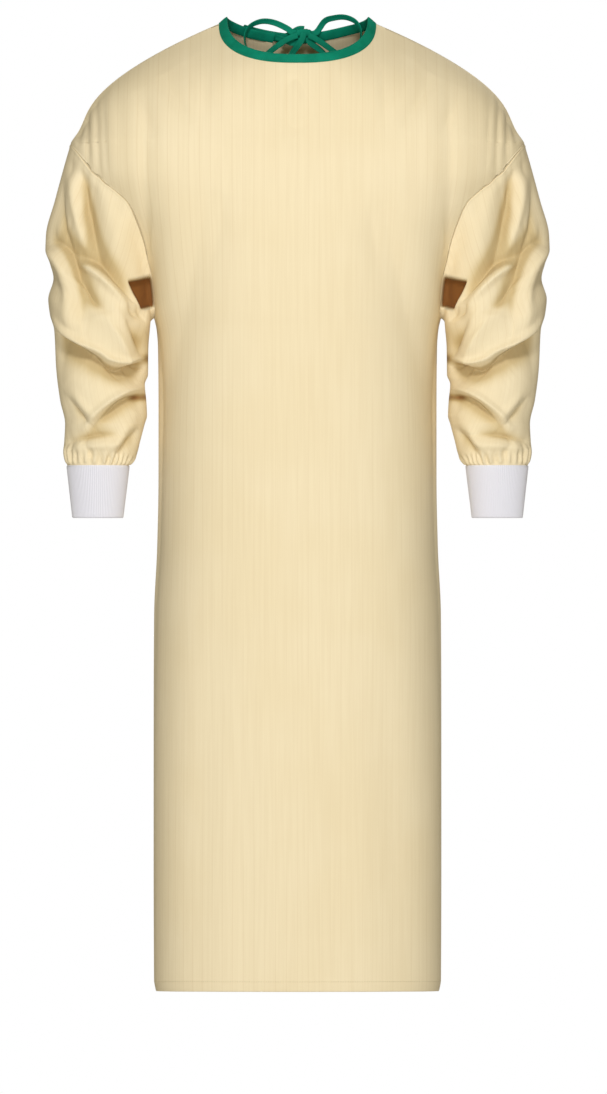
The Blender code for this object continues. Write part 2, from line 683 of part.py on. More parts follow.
def cuff_rings():
    around = np.arange(SLEEVE_COLUMNS) / SLEEVE_COLUMNS * TAU
    side = signed_power(np.cos(around), 2 / SLEEVE_SQUARENESS)
    ahead = signed_power(np.sin(around), 2 / SLEEVE_SQUARENESS)
    grid = []
    for share in np.linspace(0, 1, CUFF_RINGS + 1):
        half_x = mix(CUFF_TOP_HALVES[0], CUFF_BOTTOM_HALVES[0], share)
        half_y = mix(CUFF_TOP_HALVES[1], CUFF_BOTTOM_HALVES[1], share)
        z = np.full(SLEEVE_COLUMNS, mix(CUFF_TOP, CUFF_BOTTOM, share))
        grid.append(np.stack([CUFF_MIDDLE_X + half_x * side, CUFF_MIDDLE_Y - half_y * ahead, z], axis=-1))
    return np.array(grid)


def smooth_route(stops):
    """A smooth line through a route's stops, in equal steps, with the lean at each station."""
    places = np.array([(stop.x * MM, stop.y * MM, stop.z * MM) for stop in stops])
    leans = np.radians([stop.lean for stop in stops])
    knots = np.arange(len(stops))
    fine = np.linspace(0, len(stops) - 1, 400)
    i = np.clip(fine.astype(int), 0, len(stops) - 2)
    t = (fine - i)[:, None]
    slopes = np.gradient(places, axis=0)
    line = (
        (2 * t**3 - 3 * t**2 + 1) * places[i]
        + (t**3 - 2 * t**2 + t) * slopes[i]
        + (3 * t**2 - 2 * t**3) * places[i + 1]
        + (t**3 - t**2) * slopes[i + 1]
    )
    lengths = np.concatenate([[0], np.cumsum(np.linalg.norm(np.diff(line, axis=0), axis=1))])
    stations = max(6, round(lengths[-1] / TAPE_STEP))
    stops_at = np.linspace(0, lengths[-1], stations + 1)
    path = np.stack([np.interp(stops_at, lengths, line[:, axis]) for axis in range(3)], axis=1)
    lean = np.interp(np.interp(stops_at, lengths, fine), knots, leans)
    return path, lean


def tape(name, path, lean):
    """A flat tape along a path. Lean 0 shows its face to the front."""
    along = unit(np.gradient(path, axis=0))
    flat = unit(np.cross(along, np.array([0.0, 1.0, 0.0])))
    face = np.cross(flat, along)
    across = flat * np.cos(lean)[:, None] + face * np.sin(lean)[:, None]
    normal = np.cross(along, across)
    half_width, half_thickness = across * TAPE_WIDTH / 2, normal * TAPE_THICKNESS / 2
    signs = ((1, 1), (-1, 1), (-1, -1), (1, -1))
    points = np.concatenate([path + half_width * a + half_thickness * b for a, b in signs])
    count = len(path)
    faces = []
    for step in range(count - 1):
        for side in range(4):
            here, there = side * count + step, (side + 1) % 4 * count + step
            faces.append([here, there, there + 1, here + 1])
    faces.append([(3 - side) * count for side in range(4)])
    faces.append([side * count + count - 1 for side in range(4)])
    return make_object(name, points, faces, "green_binding")


def neck_knot():
    mesh = bpy.data.meshes.new("neck_knot")
    shape = bmesh.new()
    bmesh.ops.create_cube(shape, size=2)
    for vertex in shape.verts:
        vertex.co = [c + v * h for c, v, h in zip(KNOT_CENTRE, vertex.co, KNOT_HALVES)]
    edges = shape.edges[:]
    bmesh.ops.bevel(shape, geom=edges, offset=KNOT_BEVEL, segments=2, affect="EDGES", profile=0.5)
    shape.to_mesh(mesh)
    shape.free()
    mesh.materials.append(MATERIALS_MADE["green_binding"])
    mesh.shade_smooth()
    knot = bpy.data.objects.new("neck_knot", mesh)
    bpy.context.scene.collection.objects.link(knot)


def body_walls():
    """The front, the left back and the right back, each a grid with its rows from the hem up."""
    front_turns, front_levels = armhole_half("front_x", True)
    back_turns, back_levels = armhole_half("back_x", False)
    front_heights, back_heights = row_heights(front_levels), row_heights(back_levels)
    front_side, back_side = side_turns(front_turns), side_turns(back_turns)
    outer_edge = lap_turns(OUTER_LAP_REACH, back_heights)
    inner_edge = lap_turns(INNER_LAP_REACH, back_heights)
    front = Wall(panel(-front_side, front_side, front_heights, FRONT_COLUMNS), WALL)
    left = Wall(panel(back_side, outer_edge, back_heights, BACK_COLUMNS), WALL)
    right = Wall(panel(-inner_edge, -back_side, back_heights, BACK_COLUMNS), WALL)
    return front, left, right


def sew_side(front, back, front_columns, back_columns):
    """The side and shoulder seams of one side. Each pair of columns is the seam's, then the next one in."""
    for rows in (slice(0, UNDERARM_ROW + 1), slice(SHOULDER_ROW, NECK_ROW + 1)):
        seam = front.middle[rows, front_columns[0]]
        outward = seam * SIDEWAYS + LEAN_UP
        into_front, into_back = front.middle[rows, front_columns[1]], back.middle[rows, back_columns[1]]
        mitre, inward = seam_frame(seam, into_front, into_back, outward)
        front.sew(rows, front_columns[0], mitre, inward)
        back.sew(rows, back_columns[0], mitre, -inward)


def sleeve_and_cuff(front, back, front_columns, back_columns, flip):
    """A sleeve, whose first ring is the armhole seam, and its cuff."""
    column, back_column = front_columns[0], back_columns[0]
    down = np.arange(SHOULDER_ROW, UNDERARM_ROW - 1, -1)
    up_again = down[::-1][1:-1]
    armhole = np.concatenate([front.middle[down, column], back.middle[up_again, back_column]])
    body = np.concatenate([front.middle[down, front_columns[1]], back.middle[up_again, back_columns[1]]])
    body[0] = (front.middle[SHOULDER_ROW + 1, column] + back.middle[SHOULDER_ROW + 1, back_column]) / 2
    body[HALF_SLEEVE_COLUMNS] = front.middle[UNDERARM_ROW - 1, column]
    rings = sleeve_rings(armhole * flip) * flip
    sleeve = Wall(rings, WALL, closed=True)
    sleeve.half *= flip[0]
    mitre, inward = seam_frame(armhole, body, rings[1], armhole * LEVEL, closed=True)
    sleeve.sew(0, slice(None), mitre, -inward)
    half_way = slice(0, HALF_SLEEVE_COLUMNS + 1)
    front.sew(down, column, mitre[half_way], inward[half_way])
    by_back = -np.arange(HALF_SLEEVE_COLUMNS + 1)
    back.sew(down, back_column, mitre[by_back], inward[by_back])

    cuff_grid = cuff_rings() * flip
    sleeve.middle[-1] = cuff_grid[0]
    cuff = Wall(cuff_grid, CUFF_WALL, closed=True)
    cuff.half *= flip[0]
    outward = cuff_grid[0] - cuff_grid[0].mean(axis=0)
    mitre, inward = seam_frame(cuff_grid[0], sleeve.middle[-2], cuff_grid[1], outward, closed=True)
    sleeve.sew(-1, slice(None), mitre, inward)
    cuff.sew(0, slice(None), mitre, -inward)
    return sleeve, cuff


def neck_band(panels):
    """The binding. Its lower row is the panels' neck seam, from the right back's free edge round."""
    counts = [wall.middle.shape[1] - 1 for wall in panels]
    starts = np.concatenate([[0], np.cumsum(counts)])
    parts = [wall.middle[:, int(i > 0) :] for i, wall in enumerate(panels)]
    seam = np.concatenate([part[NECK_ROW] for part in parts])
    body = np.concatenate([part[NECK_ROW - 1] for part in parts])
    turns = neck_turn(seam)
    band = Wall(np.array([seam, seam + neck_point(turns, 1) - neck_point(turns, 0)]), BINDING_WALL)
    mitre, inward = seam_frame(seam, body, band.middle[1], seam * LEVEL + LEAN_UP)
    band.sew(0, slice(None), mitre, -inward)
    for wall, start, stop in zip(panels, starts[:-1], starts[1:] + 1):
        wall.sew(NECK_ROW, slice(None), mitre[start:stop], inward[start:stop])
    return band


def build_gown():
    front, left, right = body_walls()
    front_edges = {"left": (FRONT_COLUMNS, FRONT_COLUMNS - 1), "right": (0, 1)}
    back_edges = {"left": (0, 1), "right": (BACK_COLUMNS, BACK_COLUMNS - 1)}
    arms = {}
    for side, back, flip in (("left", left, np.ones(3)), ("right", right, MIRROR)):
        sew_side(front, back, front_edges[side], back_edges[side])
        arms[side] = sleeve_and_cuff(front, back, front_edges[side], back_edges[side], flip)
    band = neck_band((right, front, left))

    front.build("front_panel", "yellow_cloth")
    left.build("back_panel_left", "yellow_cloth")
    right.build("back_panel_right", "yellow_cloth")
    band.build("neck_binding", "green_binding")
    for side, (sleeve, cuff) in arms.items():
        sleeve.build("sleeve_" + side, "yellow_cloth", flipped=side == "right")
        cuff.build("cuff_" + side, "white_knit", flipped=side == "right")


def build_tie():
    neck_knot()
    for name, stops in TIE_ROUTES.items():
        path, lean = smooth_route(stops)
        tape(name, path, lean)


clear_scene()
MATERIALS_MADE = make_materials()
build_gown()
build_tie()
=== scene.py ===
"""Looks of the isolation gown: thin cloth shells on the solids' own forms, with creases, seams and stitches.

The frame is the solids' frame: +Z up, the front faces -Y, +X is the wearer's left, and the origin is the
middle of the neck opening. A turn is an angle round the body: 0 at the centre front and 90 degrees at the
wearer's left side.
"""

import math
from collections import namedtuple

import bpy
import numpy as np
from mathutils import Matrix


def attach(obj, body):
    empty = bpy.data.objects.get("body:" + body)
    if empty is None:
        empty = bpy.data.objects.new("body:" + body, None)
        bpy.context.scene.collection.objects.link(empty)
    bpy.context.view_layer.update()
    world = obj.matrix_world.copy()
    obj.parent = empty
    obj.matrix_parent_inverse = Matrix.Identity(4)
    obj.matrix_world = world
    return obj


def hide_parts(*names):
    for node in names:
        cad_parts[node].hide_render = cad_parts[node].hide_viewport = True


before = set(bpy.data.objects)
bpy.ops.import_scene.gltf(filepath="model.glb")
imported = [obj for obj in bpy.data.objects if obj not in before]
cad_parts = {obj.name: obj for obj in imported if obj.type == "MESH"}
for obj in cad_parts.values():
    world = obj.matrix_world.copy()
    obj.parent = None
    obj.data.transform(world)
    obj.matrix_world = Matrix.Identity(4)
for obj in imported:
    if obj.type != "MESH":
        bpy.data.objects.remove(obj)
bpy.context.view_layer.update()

MM = 0.001
TAU = 2 * math.pi
QUARTER = math.pi / 2
MIRROR = np.array([-1, 1, 1])


def table(columns, *rows):
    """Rows with named columns, of which the last two may be left out and are then 0."""
    kind = namedtuple("Row", columns, defaults=(0, 0))
    return [kind(*row) for row in rows]


# Heights and rings of the body, as the solids have them
HEM_LEVEL = -1270 * MM
UNDERARM_LEVEL = -392 * MM
SHOULDER_LEVEL = -167 * MM
SLEEVE_END = -585 * MM
FRONT_HEM_LIFT = 8 * MM
HEM_LIFT_REACH = 0.25
NECK_SQUARENESS = 2.2
FRONT_NECK_SQUARENESS = 2.45
BACK_NECK_SQUARENESS = 1.35
SHOULDER_SLOPE = 1.93
CENTRE_SLOPE = 1.55
OUTER_LAP_REACH = (75 * MM, 130 * MM)
INNER_LAP_REACH = (-33 * MM, 95 * MM)
LAP_OFFSET = 3.0 * MM
LAP_START, LAP_FULL = 110, 150
ARMHOLE_FADE = 0.4
SLEEVE_SQUARENESS = 2.15

# How much narrower the shoulders are here than in the solids, most at this share of the way to the neck
SHOULDER_TRIM = 0.031
TRIM_PEAK = 0.17

# Rows and columns of the cloth
FRONT_COLUMNS = 226
BACK_COLUMNS = 150
SKIRT_ROWS = 165
ARMHOLE_ROWS = 62
YOKE_ROWS = 48
HALF_SLEEVE_COLUMNS = 110
SLEEVE_RINGS = 255
BAND_COLUMNS = 420
CUFF_RIBS = 104
COLUMNS_A_RIB = 4
CUFF_RINGS = 30

# Turned edges and seams: how far each point lies from the edge, and how far out from the cloth
CLOTH_GAP = 1.1 * MM
SEAM_FLANGE = 4 * MM
SEAM_ALONG = np.array([0, 0, 0, 0.8, 1.8, 3.2]) * MM
SEAM_OUT = np.array([-4, -2, -0.25, -0.15, -0.0625, 0]) * MM
TURNED_LAP = np.array([10, 6, 3, 1.6, 0.5, 0, 0.5, 1.6]) * MM
TURNED_HEM = np.array([15, 9.9, 4.95, 1.8, 0.6, 0, 0.6, 1.8]) * MM
TURNED_OUT = np.array([-1, -1.05, -1.05, -1, -0.8, -0.5, -0.15, 0]) * CLOTH_GAP
EDGES = {"seam": (SEAM_ALONG, SEAM_OUT), "turned": (TURNED_LAP, TURNED_OUT)}
# How far up inside the binding the last rows of the body lie, as shares of its height
ROWS_IN_BINDING = (0.2, 0.45)

# The ripple that sewing leaves, and the distance from one stripe to the next
PUCKER_HEIGHT = 0.16 * MM
STRIPE_PERIOD = 14 * MM
# The steps to each side that give the way the cloth faces: round the body, and up the body and the yoke
TURN_STEP = math.radians(1.5)
BODY_STEP, YOKE_STEP = 0.004, 0.02

SECTIONS = table(
    "level half_width front back squareness",
    (-1270, 184.5, 128, 119, 2.5), (-1255, 187.0, 129, 120, 2.5), (-1100, 187.5, 131, 121, 2.5),
    (-900, 187.5, 133, 121, 2.5), (-780, 187.0, 134, 118, 2.45), (-690, 183.0, 134, 109, 2.4),
    (-600, 181.3, 134, 101, 2.4), (-500, 181.3, 136, 102, 2.4), (-430, 182.0, 138, 109, 2.4),
    (-407, 183.8, 138, 111, 2.4), (-392, 187.3, 139, 113, 2.4), (-343, 198.3, 140, 118, 2.4),
    (-292, 216.3, 140, 121, 2.4), (-246, 252.0, 138, 121, 2.4), (-204, 290.0, 135.8, 120.2, 2.4),
    (-185, 295.3, 133.0, 118, 2.4), (-167, 296.0, 129, 114, 2.4),
)

NeckRing = namedtuple("NeckRing", "half_width front back front_z side_z back_z")
NECK_SEAM = NeckRing(101.0, 93.5, 71.5, -66.0, -8.0, -29.0)
NECK_EDGE = NeckRing(91.5, 88.5, 66.5, -55.3, 0.0, -17.8)

ARMHOLE = table(
    "level front_x back_x",
    (-167, 296.0, 296.0), (-184, 283.0, 286.0), (-204, 269.0, 272.5), (-218, 254.0, 260.0),
    (-233, 234.0, 246.5), (-248, 219.0, 234.0), (-270, 209.5, 220.0), (-295, 202.5, 209.5),
    (-320, 198.0, 201.5), (-345, 194.0, 195.0), (-370, 189.5, 190.0), (-392, 187.3, 187.3),
)

SLEEVE_OUTER_EDGE = table(
    "level x",
    (-167, 296.0), (-187, 302.0), (-239, 316.2), (-285, 328.0), (-303, 328.6), (-322, 322.5),
    (-341, 318.0), (-368, 324.7), (-388, 322.5), (-408, 317.0), (-458, 314.3), (-500, 309.0),
    (-531, 302.5), (-562, 303.8), (-585, 299.3),
)
SLEEVE_INNER_EDGE = table(
    "level x",
    (-392, 187.3), (-399, 192.5), (-411, 193.3), (-434, 194.5), (-466, 194.8), (-479, 199.0),
    (-500, 197.0), (-520, 196.0), (-531, 199.0), (-552, 204.5), (-573, 210.0), (-585, 219.7),
)
SLEEVE_DEPTHS = table(
    "share front back middle_y",
    (0.0, 82, 80, 0), (0.25, 76, 72, -2), (0.5, 68, 64, -6), (0.75, 57, 54, -12), (0.9, 48, 46, -16),
    (1.0, 34, 34, -18),
)

# The cuff, a tapered rib-knit tube, doubled
CUFF_TOP = -585.8 * MM
CUFF_BOTTOM = -652 * MM
CUFF_MIDDLE_X = 259.5 * MM
CUFF_MIDDLE_Y = -18 * MM
CUFF_TOP_HALVES = (39.8 * MM, 34 * MM)
CUFF_BOTTOM_HALVES = (32 * MM, 25 * MM)
CUFF_SKIN = 1.1 * MM
RIB_HEIGHT = 0.22 * MM
CUFF_ROUND = 225 * MM
CUFF_LENGTH = 66 * MM

# A crease runs along a bow through three points of the front or back view, in mm. Left and right are the
# widths of its two slopes, seen along it, and the lips are the rolls of cloth beside it. Sharp is 2 for a
# soft trough and 1 for a crisp one. A negative depth makes a ridge.
CREASE = "start_x start_z middle_x middle_z end_x end_z depth left right sharp left_lip right_lip"
FRONT_CREASES = table(
    CREASE,
    # The long pressed folds down from the shoulders
    (196, -85, 197, -220, 197, -365, 4.2, 9, 14, 1.2, 0, 0.8),
    (-196, -88, -197, -225, -197, -365, 4.2, 14, 9, 1.2, 0.8, 0),
    # The drag lines above the armhole seams
    (285, -122, 286, -146, 285, -172, 6.5, 3.5, 5, 1.0, 0, 1.2),
    (-285, -122, -286, -146, -285, -172, 6.5, 5, 3.5, 1.0, 1.2, 0),
    (277, -106, 276, -150, 271, -204, 7.5, 4, 6, 1.0, 0, 2.0),
    (-277, -106, -276, -150, -271, -204, 7.5, 6, 4, 1.0, 2.0, 0),
    (266, -92, 263, -150, 257, -226, 8.0, 4.5, 7, 1.0, 0, 2.0),
    (-266, -92, -263, -150, -257, -226, 8.0, 7, 4.5, 1.0, 2.0, 0),
    (252, -84, 249, -150, 242, -232, 5.0, 5, 8, 1.1, 0, 1.0),
    (-254, -84, -251, -150, -244, -232, 5.0, 8, 5, 1.1, 1.0, 0),
    (233, -82, 232, -150, 226, -240, 2.2, 9, 11, 1.6),
    (-235, -82, -232, -150, -226, -240, 2.2, 11, 9, 1.6),
    # The shoulder diagonals
    (176, -78, 160, -110, 134, -152, 6.0, 9, 14, 1.2, 0, 1.0),
    (-176, -78, -160, -110, -136, -148, 6.0, 14, 9, 1.2, 1.0, 0),
    (150, -58, 128, -96, 96, -158, 3.2, 12, 16, 1.5),
    (-150, -62, -128, -100, -96, -160, 3.2, 16, 12, 1.5),
    (214, -96, 202, -124, 186, -160, 3.4, 8, 12, 1.3),
    (-210, -100, -200, -128, -186, -166, 3.4, 12, 8, 1.3),
    # The soft hang from the chest out to the sides
    (-112, -228, -140, -360, -186, -560, 7.0, 42, 20, 1.5, 0, 2.0),
    (106, -240, 134, -360, 182, -540, 6.5, 20, 42, 1.5, 2.0, 0),
    (-194, -320, -202, -520, -204, -900, 13.0, 12, 46, 1.5, 0, 2.0),
    (194, -320, 202, -520, 204, -900, 13.0, 46, 12, 1.5, 2.0, 0),
    (-166, -380, -176, -620, -170, -980, 4.0, 30, 16, 1.7),
    (168, -400, 177, -640, 170, -1000, 4.0, 16, 30, 1.7),
    (-96, -240, -100, -275, -112, -330, 2.4, 12, 12, 1.5),
    (92, -255, 98, -290, 108, -340, 2.4, 12, 12, 1.5),
    # The skirt
    (-100, -760, -116, -980, -124, -1330, 3.0, 34, 26, 1.8),
    (104, -820, 120, -1020, 128, -1330, 3.0, 26, 34, 1.8),
    (-62, -880, -66, -1080, -60, -1330, 1.8, 22, 22, 1.8),
    (40, -960, 44, -1100, 48, -1330, 1.6, 24, 24, 1.8),
    # The faint puckers under the neck
    (-116, -60, -117, -105, -122, -170, 1.5, 7, 9, 1.6),
    (-63, -74, -64, -105, -66, -165, 1.4, 7, 8, 1.6),
    (-14, -84, -14, -115, -16, -160, 1.1, 8, 8, 1.7),
    (54, -78, 54, -110, 52, -160, 1.4, 8, 7, 1.6),
    (110, -66, 110, -100, 116, -165, 1.5, 9, 7, 1.6),
    (-19, -132, -3, -88, 16, -132, 1.6, 5, 6, 1.3),
    (-19, -132, -2, -154, 16, -132, 1.2, 6, 6, 1.4),
)
BACK_CREASES = table(
    CREASE,
    (118, -170, 112, -520, 128, -1560, 8.0, 30, 28, 1.8),
    (-124, -190, -118, -560, -140, -1560, 8.5, 28, 31, 1.8),
    (62, -300, 56, -640, 66, -1560, 6.5, 29, 26, 1.8),
    (-60, -260, -66, -660, -62, -1560, 7.0, 27, 30, 1.8),
    (4, -360, -4, -700, 4, -1560, -5.5, 30, 30, 2),
    (232, -110, 226, -180, 214, -262, 2.2, 8, 8, 1.6),
    (-232, -110, -228, -180, -216, -262, 2.2, 8, 8, 1.6),
    (262, -106, 258, -160, 246, -222, 2.4, 6, 7, 1.5),
    (-262, -106, -258, -160, -246, -222, 2.4, 7, 6, 1.5),
    (180, -330, 150, -372, 96, -392, 3.0, 12, 12, 1.8),
    (-182, -330, -150, -376, -92, -398, 3.0, 12, 12, 1.8),
    (172, -520, 140, -548, 88, -556, 2.6, 12, 14, 1.8),
    (-172, -512, -136, -544, -84, -552, 2.6, 14, 12, 1.8),
)
SLEEVE_FRONT_CREASES = table(
    CREASE,
    # Down the cap
    (280, -200, 275, -258, 256, -324, 15.0, 7, 14, 1.0, 4.5, 3.0),
    (306, -212, 309, -262, 300, -306, 6.0, 8, 6, 1.2),
    (292, -186, 294, -200, 296, -214, 2.4, 5, 5, 1.4),
    # The elbow's two deep creases and the facets between them
    (338, -292, 298, -318, 280, -398, 19.0, 7, 24, 1.0, 6.5, 0),
    (290, -312, 248, -332, 209, -374, 17.0, 6, 16, 1.0, 7.0, 0),
    (281, -346, 266, -372, 238, -386, 9.0, 8, 10, 1.3),
    (272, -392, 250, -392, 222, -386, -3.5, 9, 9, 1.4),
    (218, -376, 212, -388, 200, -396, 6.0, 4, 6, 1.1, 0, 1.5),
    (206, -378, 202, -388, 196, -398, 5.0, 4, 4, 1.1),
    # The pouch over the forearm
    (328, -398, 292, -432, 250, -450, 19.0, 20, 5, 1.0, 0, 8.0),
    (268, -442, 232, -462, 186, -452, 18.0, 17, 5, 1.0, 0, 7.0),
    (216, -458, 204, -456, 186, -452, 12.0, 7, 5, 1.1),
    (250, -392, 232, -420, 216, -448, -6.5, 7, 10, 1.2),
    (222, -396, 206, -420, 200, -446, 9.0, 8, 9, 1.2),
    (296, -360, 300, -392, 284, -420, -4.0, 12, 12, 1.5),
    # The forearm
    (188, -492, 232, -508, 272, -545, 15.0, 5, 17, 1.0, 6.0, 0),
    (302, -496, 286, -518, 266, -536, 8.0, 13, 6, 1.0, 0, 2.5),
    (308, -555, 268, -549, 220, -546, 9.5, 6, 9, 1.0, 3.0, 1.0),
    (200, -536, 220, -560, 234, -576, 9.0, 6, 9, 1.1, 2.5, 0),
    (283, -548, 272, -566, 262, -580, 3.0, 6, 6, 1.4),
    (298, -552, 294, -564, 290, -578, 3.0, 5, 6, 1.4),
    # The underarm
    (240, -372, 226, -398, 214, -430, -3.0, 10, 10, 1.6),
)
SLEEVE_BACK_CREASES = table(
    CREASE,
    (322, -262, 286, -300, 236, -330, 10.0, 9, 18, 1.2, 4.0, 0),
    (328, -326, 290, -352, 222, -372, 12.0, 8, 18, 1.1, 5.0, 0),
    (320, -398, 276, -414, 212, -402, 11.0, 17, 7, 1.1, 0, 5.0),
    (314, -444, 262, -472, 202, -462, 10.0, 8, 15, 1.1, 4.0, 0),
    (304, -500, 262, -513, 208, -498, 8.5, 14, 7, 1.1, 0, 3.5),
    (302, -548, 258, -552, 212, -540, 5.0, 8, 10, 1.2, 1.8, 0),
    (262, -214, 272, -262, 290, -306, 7.5, 13, 9, 1.3, 2.0, 0),
    (296, -300, 262, -330, 232, -352, -3.6, 9, 9, 1.4),
    (300, -424, 262, -440, 226, -436, -3.2, 9, 9, 1.4),
    (292, -196, 296, -230, 300, -262, 4.0, 7, 7, 1.4),
)
CREASE_STEPS = 14
CREASE_END_SHARE = 0.06
CREASE_REACH = 4
CREASE_SIDE_BLEND = 2.0
TROUGH_ROUNDING = 0.02
LIP_PLACE = 1.9

# How much deeper the sleeves' folds are than their table says
SLEEVE_FOLD_LIFT = 1.3
FOLD_FADE_SHARES = (0, 0.05, 0.96, 1)
FACING_BLEND = 0.45
# Painted shade: how far the cloth's colour darkens in the sleeve's folds, and the fold depths over which it
# grows
PAINTED_FOLD_SHADE = 0.42
PAINTED_FOLD_SHADE_DEPTHS = (3 * MM, 13 * MM)
# The ridge that the armhole seam makes in the sleeve
SLEEVE_LENGTH = 420 * MM
RIDGE_PLACE, RIDGE_WIDTH, RIDGE_HEIGHT = 1.6 * MM, 1.2 * MM, 0.7 * MM
# Painted shade in the hollows under the folds at the inner side of the left sleeve, in mm of the front view
PAINTED_NOOK_SHADES = table(
    "x z half_width half_height shade",
    (189, -446, 9, 6, 0.95),
    (197, -496, 8, 6, 0.75),
    (196, -420, 13, 24, 0.34),
    (204, -566, 12, 22, 0.16),
)

# The pocket where the sleeve folds in behind the body at the underarm: a dent, with painted shade that
# darkens its colour to brown
POCKET_INNER, POCKET_OUTER = (186, 192), (215, 218)
POCKET_FOOT, POCKET_HEAD = (-380, -376), (-341, -337)
POCKET_SIDE_SLANT = -0.40
POCKET_HEAD_SLANT = 0.30
POCKET_DEPTH = 14 * MM
POCKET_INTO = np.array([0.15, 1.0, 0.0])

# The gathers where a sleeve is eased into its cuff
GATHER_COUNT = 27
GATHER_DEPTH = 1.7 * MM
GATHER_SHARES = (0.925, 0.975, 0.985, 1)

# Rows of stitches
STITCH_GAP, STITCH_LENGTH = 3.1 * MM, 2.3 * MM
BINDING_STITCH_GAP, BINDING_STITCH_LENGTH = 2.7 * MM, 2.0 * MM
STITCH_RADIUS = 0.28 * MM
STITCH_RINGS = ((0, 0.15), (0.2, 0.9), (0.5, 1), (0.8, 0.9), (1, 0.15))
HEM_STITCHES_UP = 13 * MM
LAP_STITCHES_IN = 8 * MM
ARMHOLE_STITCHES_IN = math.radians(0.9)

# The neck binding's section, as shares of the way up from its seam and mm out from the cloth
BINDING_WIDTH = 10.5 * MM
BINDING_STITCHES_UP = 0.08
BINDING_STITCHES_OUT = 1.15 * MM
BINDING_SECTION = (
    (-0.10, 0.3), (-0.11, 1.0), (-0.08, 1.35), (0.02, 1.25), (0.08, 1.05), (0.14, 1.25), (0.35, 1.4),
    (0.6, 1.4), (0.82, 1.3), (0.93, 1.05), (0.985, 0.6), (1.0, 0.0), (0.985, -0.6), (0.93, -1.05),
    (0.8, -1.3), (0.5, -1.35), (0.2, -1.3), (-0.06, -1.25), (-0.10, -0.9), (-0.10, -0.3),
)

# The neck tie
TAPE_WIDTH = 8 * MM
TAPE_THICKNESS = 1.1 * MM
TAPE_STEP = 1.6 * MM
TAPE_CURL, TAPE_CURL_WAVE = 0.5 * MM, 17 * MM
KNOT_CENTRE = (8 * MM, 61.5 * MM, -15.5 * MM)
KNOT_HALVES = (10.4 * MM, 4.9 * MM, 5.5 * MM)
# How much the wrapped turn and its ripple swell the knot, which is taken off again
KNOT_SWELL = (1, 1.06, 1.06)
# A quarter of the tape's section, as shares of its half width and of its thickness
TAPE_QUARTER = np.array([(0, 0.36), (0.3, 0.5), (0.6, 0.52), (0.88, 0.46), (0.98, 0.25), (1, 0)])
# The stops of each tape: x, y and z in mm, and how far it leans, in degrees
TIE_ROUTES = {
    "bow_loop_right": (
        (-1.0, 61.6, -15.5, 0), (-7.3, 62.1, -15.1, 1), (-12, 63.5, -10.5, 5), (-29, 61, -2.5, 15),
        (-44, 55, -0.5, 30), (-56, 49, -4, 45), (-65, 43, -11, 60), (-69, 39, -21, 75),
        (-68, 37, -33, 80), (-61, 38, -47, 60), (-50, 41, -51, 40), (-38, 46, -43, 25),
        (-26, 52, -33, 15), (-14, 55.5, -24.5, 8), (-6, 55.4, -21, 3), (0, 55.5, -19, 0),
    ),
    "bow_loop_left": (
        (17.0, 61.6, -16.5, 0), (23, 62.1, -16.2, -1), (27.5, 62.5, -11.5, -5), (36, 57, 0, -15),
        (47, 49, 3, -25), (60, 40, 3.5, -35), (72, 31, -1, -45), (80, 24, -9, -60), (83, 20, -21, -75),
        (80, 19, -35, -75), (71, 23, -48, -60), (59, 30, -49, -40), (48, 39, -42, -25),
        (37, 48, -33, -15), (28, 53, -26.5, -8), (20, 55, -21.5, -3), (14.5, 55.5, -19, 0),
    ),
    "tie_end_right": (
        (7.5, 55.5, -15.5, 0), (6.5, 54, -23.5, 0), (1, 53, -32, 0), (-5, 53, -40, 0),
        (-9.5, 52.5, -49, 0), (-13, 53, -72, 0), (-12, 56, -98, -8), (-16, 58, -122, -4),
    ),
    "tie_end_left": (
        (14, 58.5, -21.8, 0), (14, 58.5, -26, 0), (20, 57.5, -31.5, 5), (28, 55, -37.5, 20),
        (35, 53, -44.5, 35), (39, 51, -55.5, 20), (40, 51, -78, 5), (37, 54, -104, 0),
        (40, 56, -132, 6),
    ),
    "tie_lead_right": (
        (-29.0, 64.3, -20.5, -24), (-22, 64.2, -23, -15), (-12, 62.5, -27, -5), (-3, 61, -29.5, 0),
        (4, 60, -27, 0), (4, 60, -22.1, 0),
    ),
    "tie_lead_left": (
        (-69.7, 56.9, -11.7, -24), (-60.6, 62.2, -13.5, -24), (-45.8, 68.0, -16.1, -24),
        (-32.6, 71.0, -18.3, -24), (-20, 72.8, -19.6, -20), (-10, 72.9, -16.5, -8), (-2, 71.4, -11, 0),
        (3, 69, -9.3, 0), (8.5, 67.2, -9.8, 0),
    ),
}

# The camera stands level with the middle of the photo
PHOTO_HEIGHT = 1.4266
CAMERA_DISTANCE = 8.0
CAMERA_X, CAMERA_Z = 0.0078, -0.691
SENSOR = 36.0
ROOM_COLOUR = (1.0, 0.91, 0.65, 1)
ROOM_STRENGTH = 0.25
# Each light's name, place, aim, size and power
STUDIO_LIGHTS = (
    ("key_light", (-0.12, -3.7, 1.9), (0, 0, -0.55), (0.8, 0.7), 70),
    ("low_fill_light", (0.05, -5.0, -1.05), (0, 0, -1.0), (0.9, 0.9), 90),
    ("neck_light", (0, -0.55, 0.42), (0, 0.06, -0.05), (0.12, 0.12), 0.3),
    ("back_light", (0.4, 3.4, 1.6), (0, 0, -0.6), (1.8, 1.4), 60),
)
FLOOR_LEVEL = -1.9
FLOOR_HALF = 4.0
FLOOR_BACK = 3.0


def smooth_step(value, low, high):
    share = np.clip((value - low) / (high - low), 0, 1)
    return share * share * (3 - 2 * share)


def window(value, rise_from, rise_to, fall_from, fall_to):
    """Rises smoothly from 0 to 1 and falls back to 0."""
    return smooth_step(value, rise_from, rise_to) * (1 - smooth_step(value, fall_from, fall_to))


def mix(first, second, share):
    return first + (second - first) * share


def unit(vectors):
    return vectors / np.maximum(np.linalg.norm(vectors, axis=-1, keepdims=True), 1e-12)


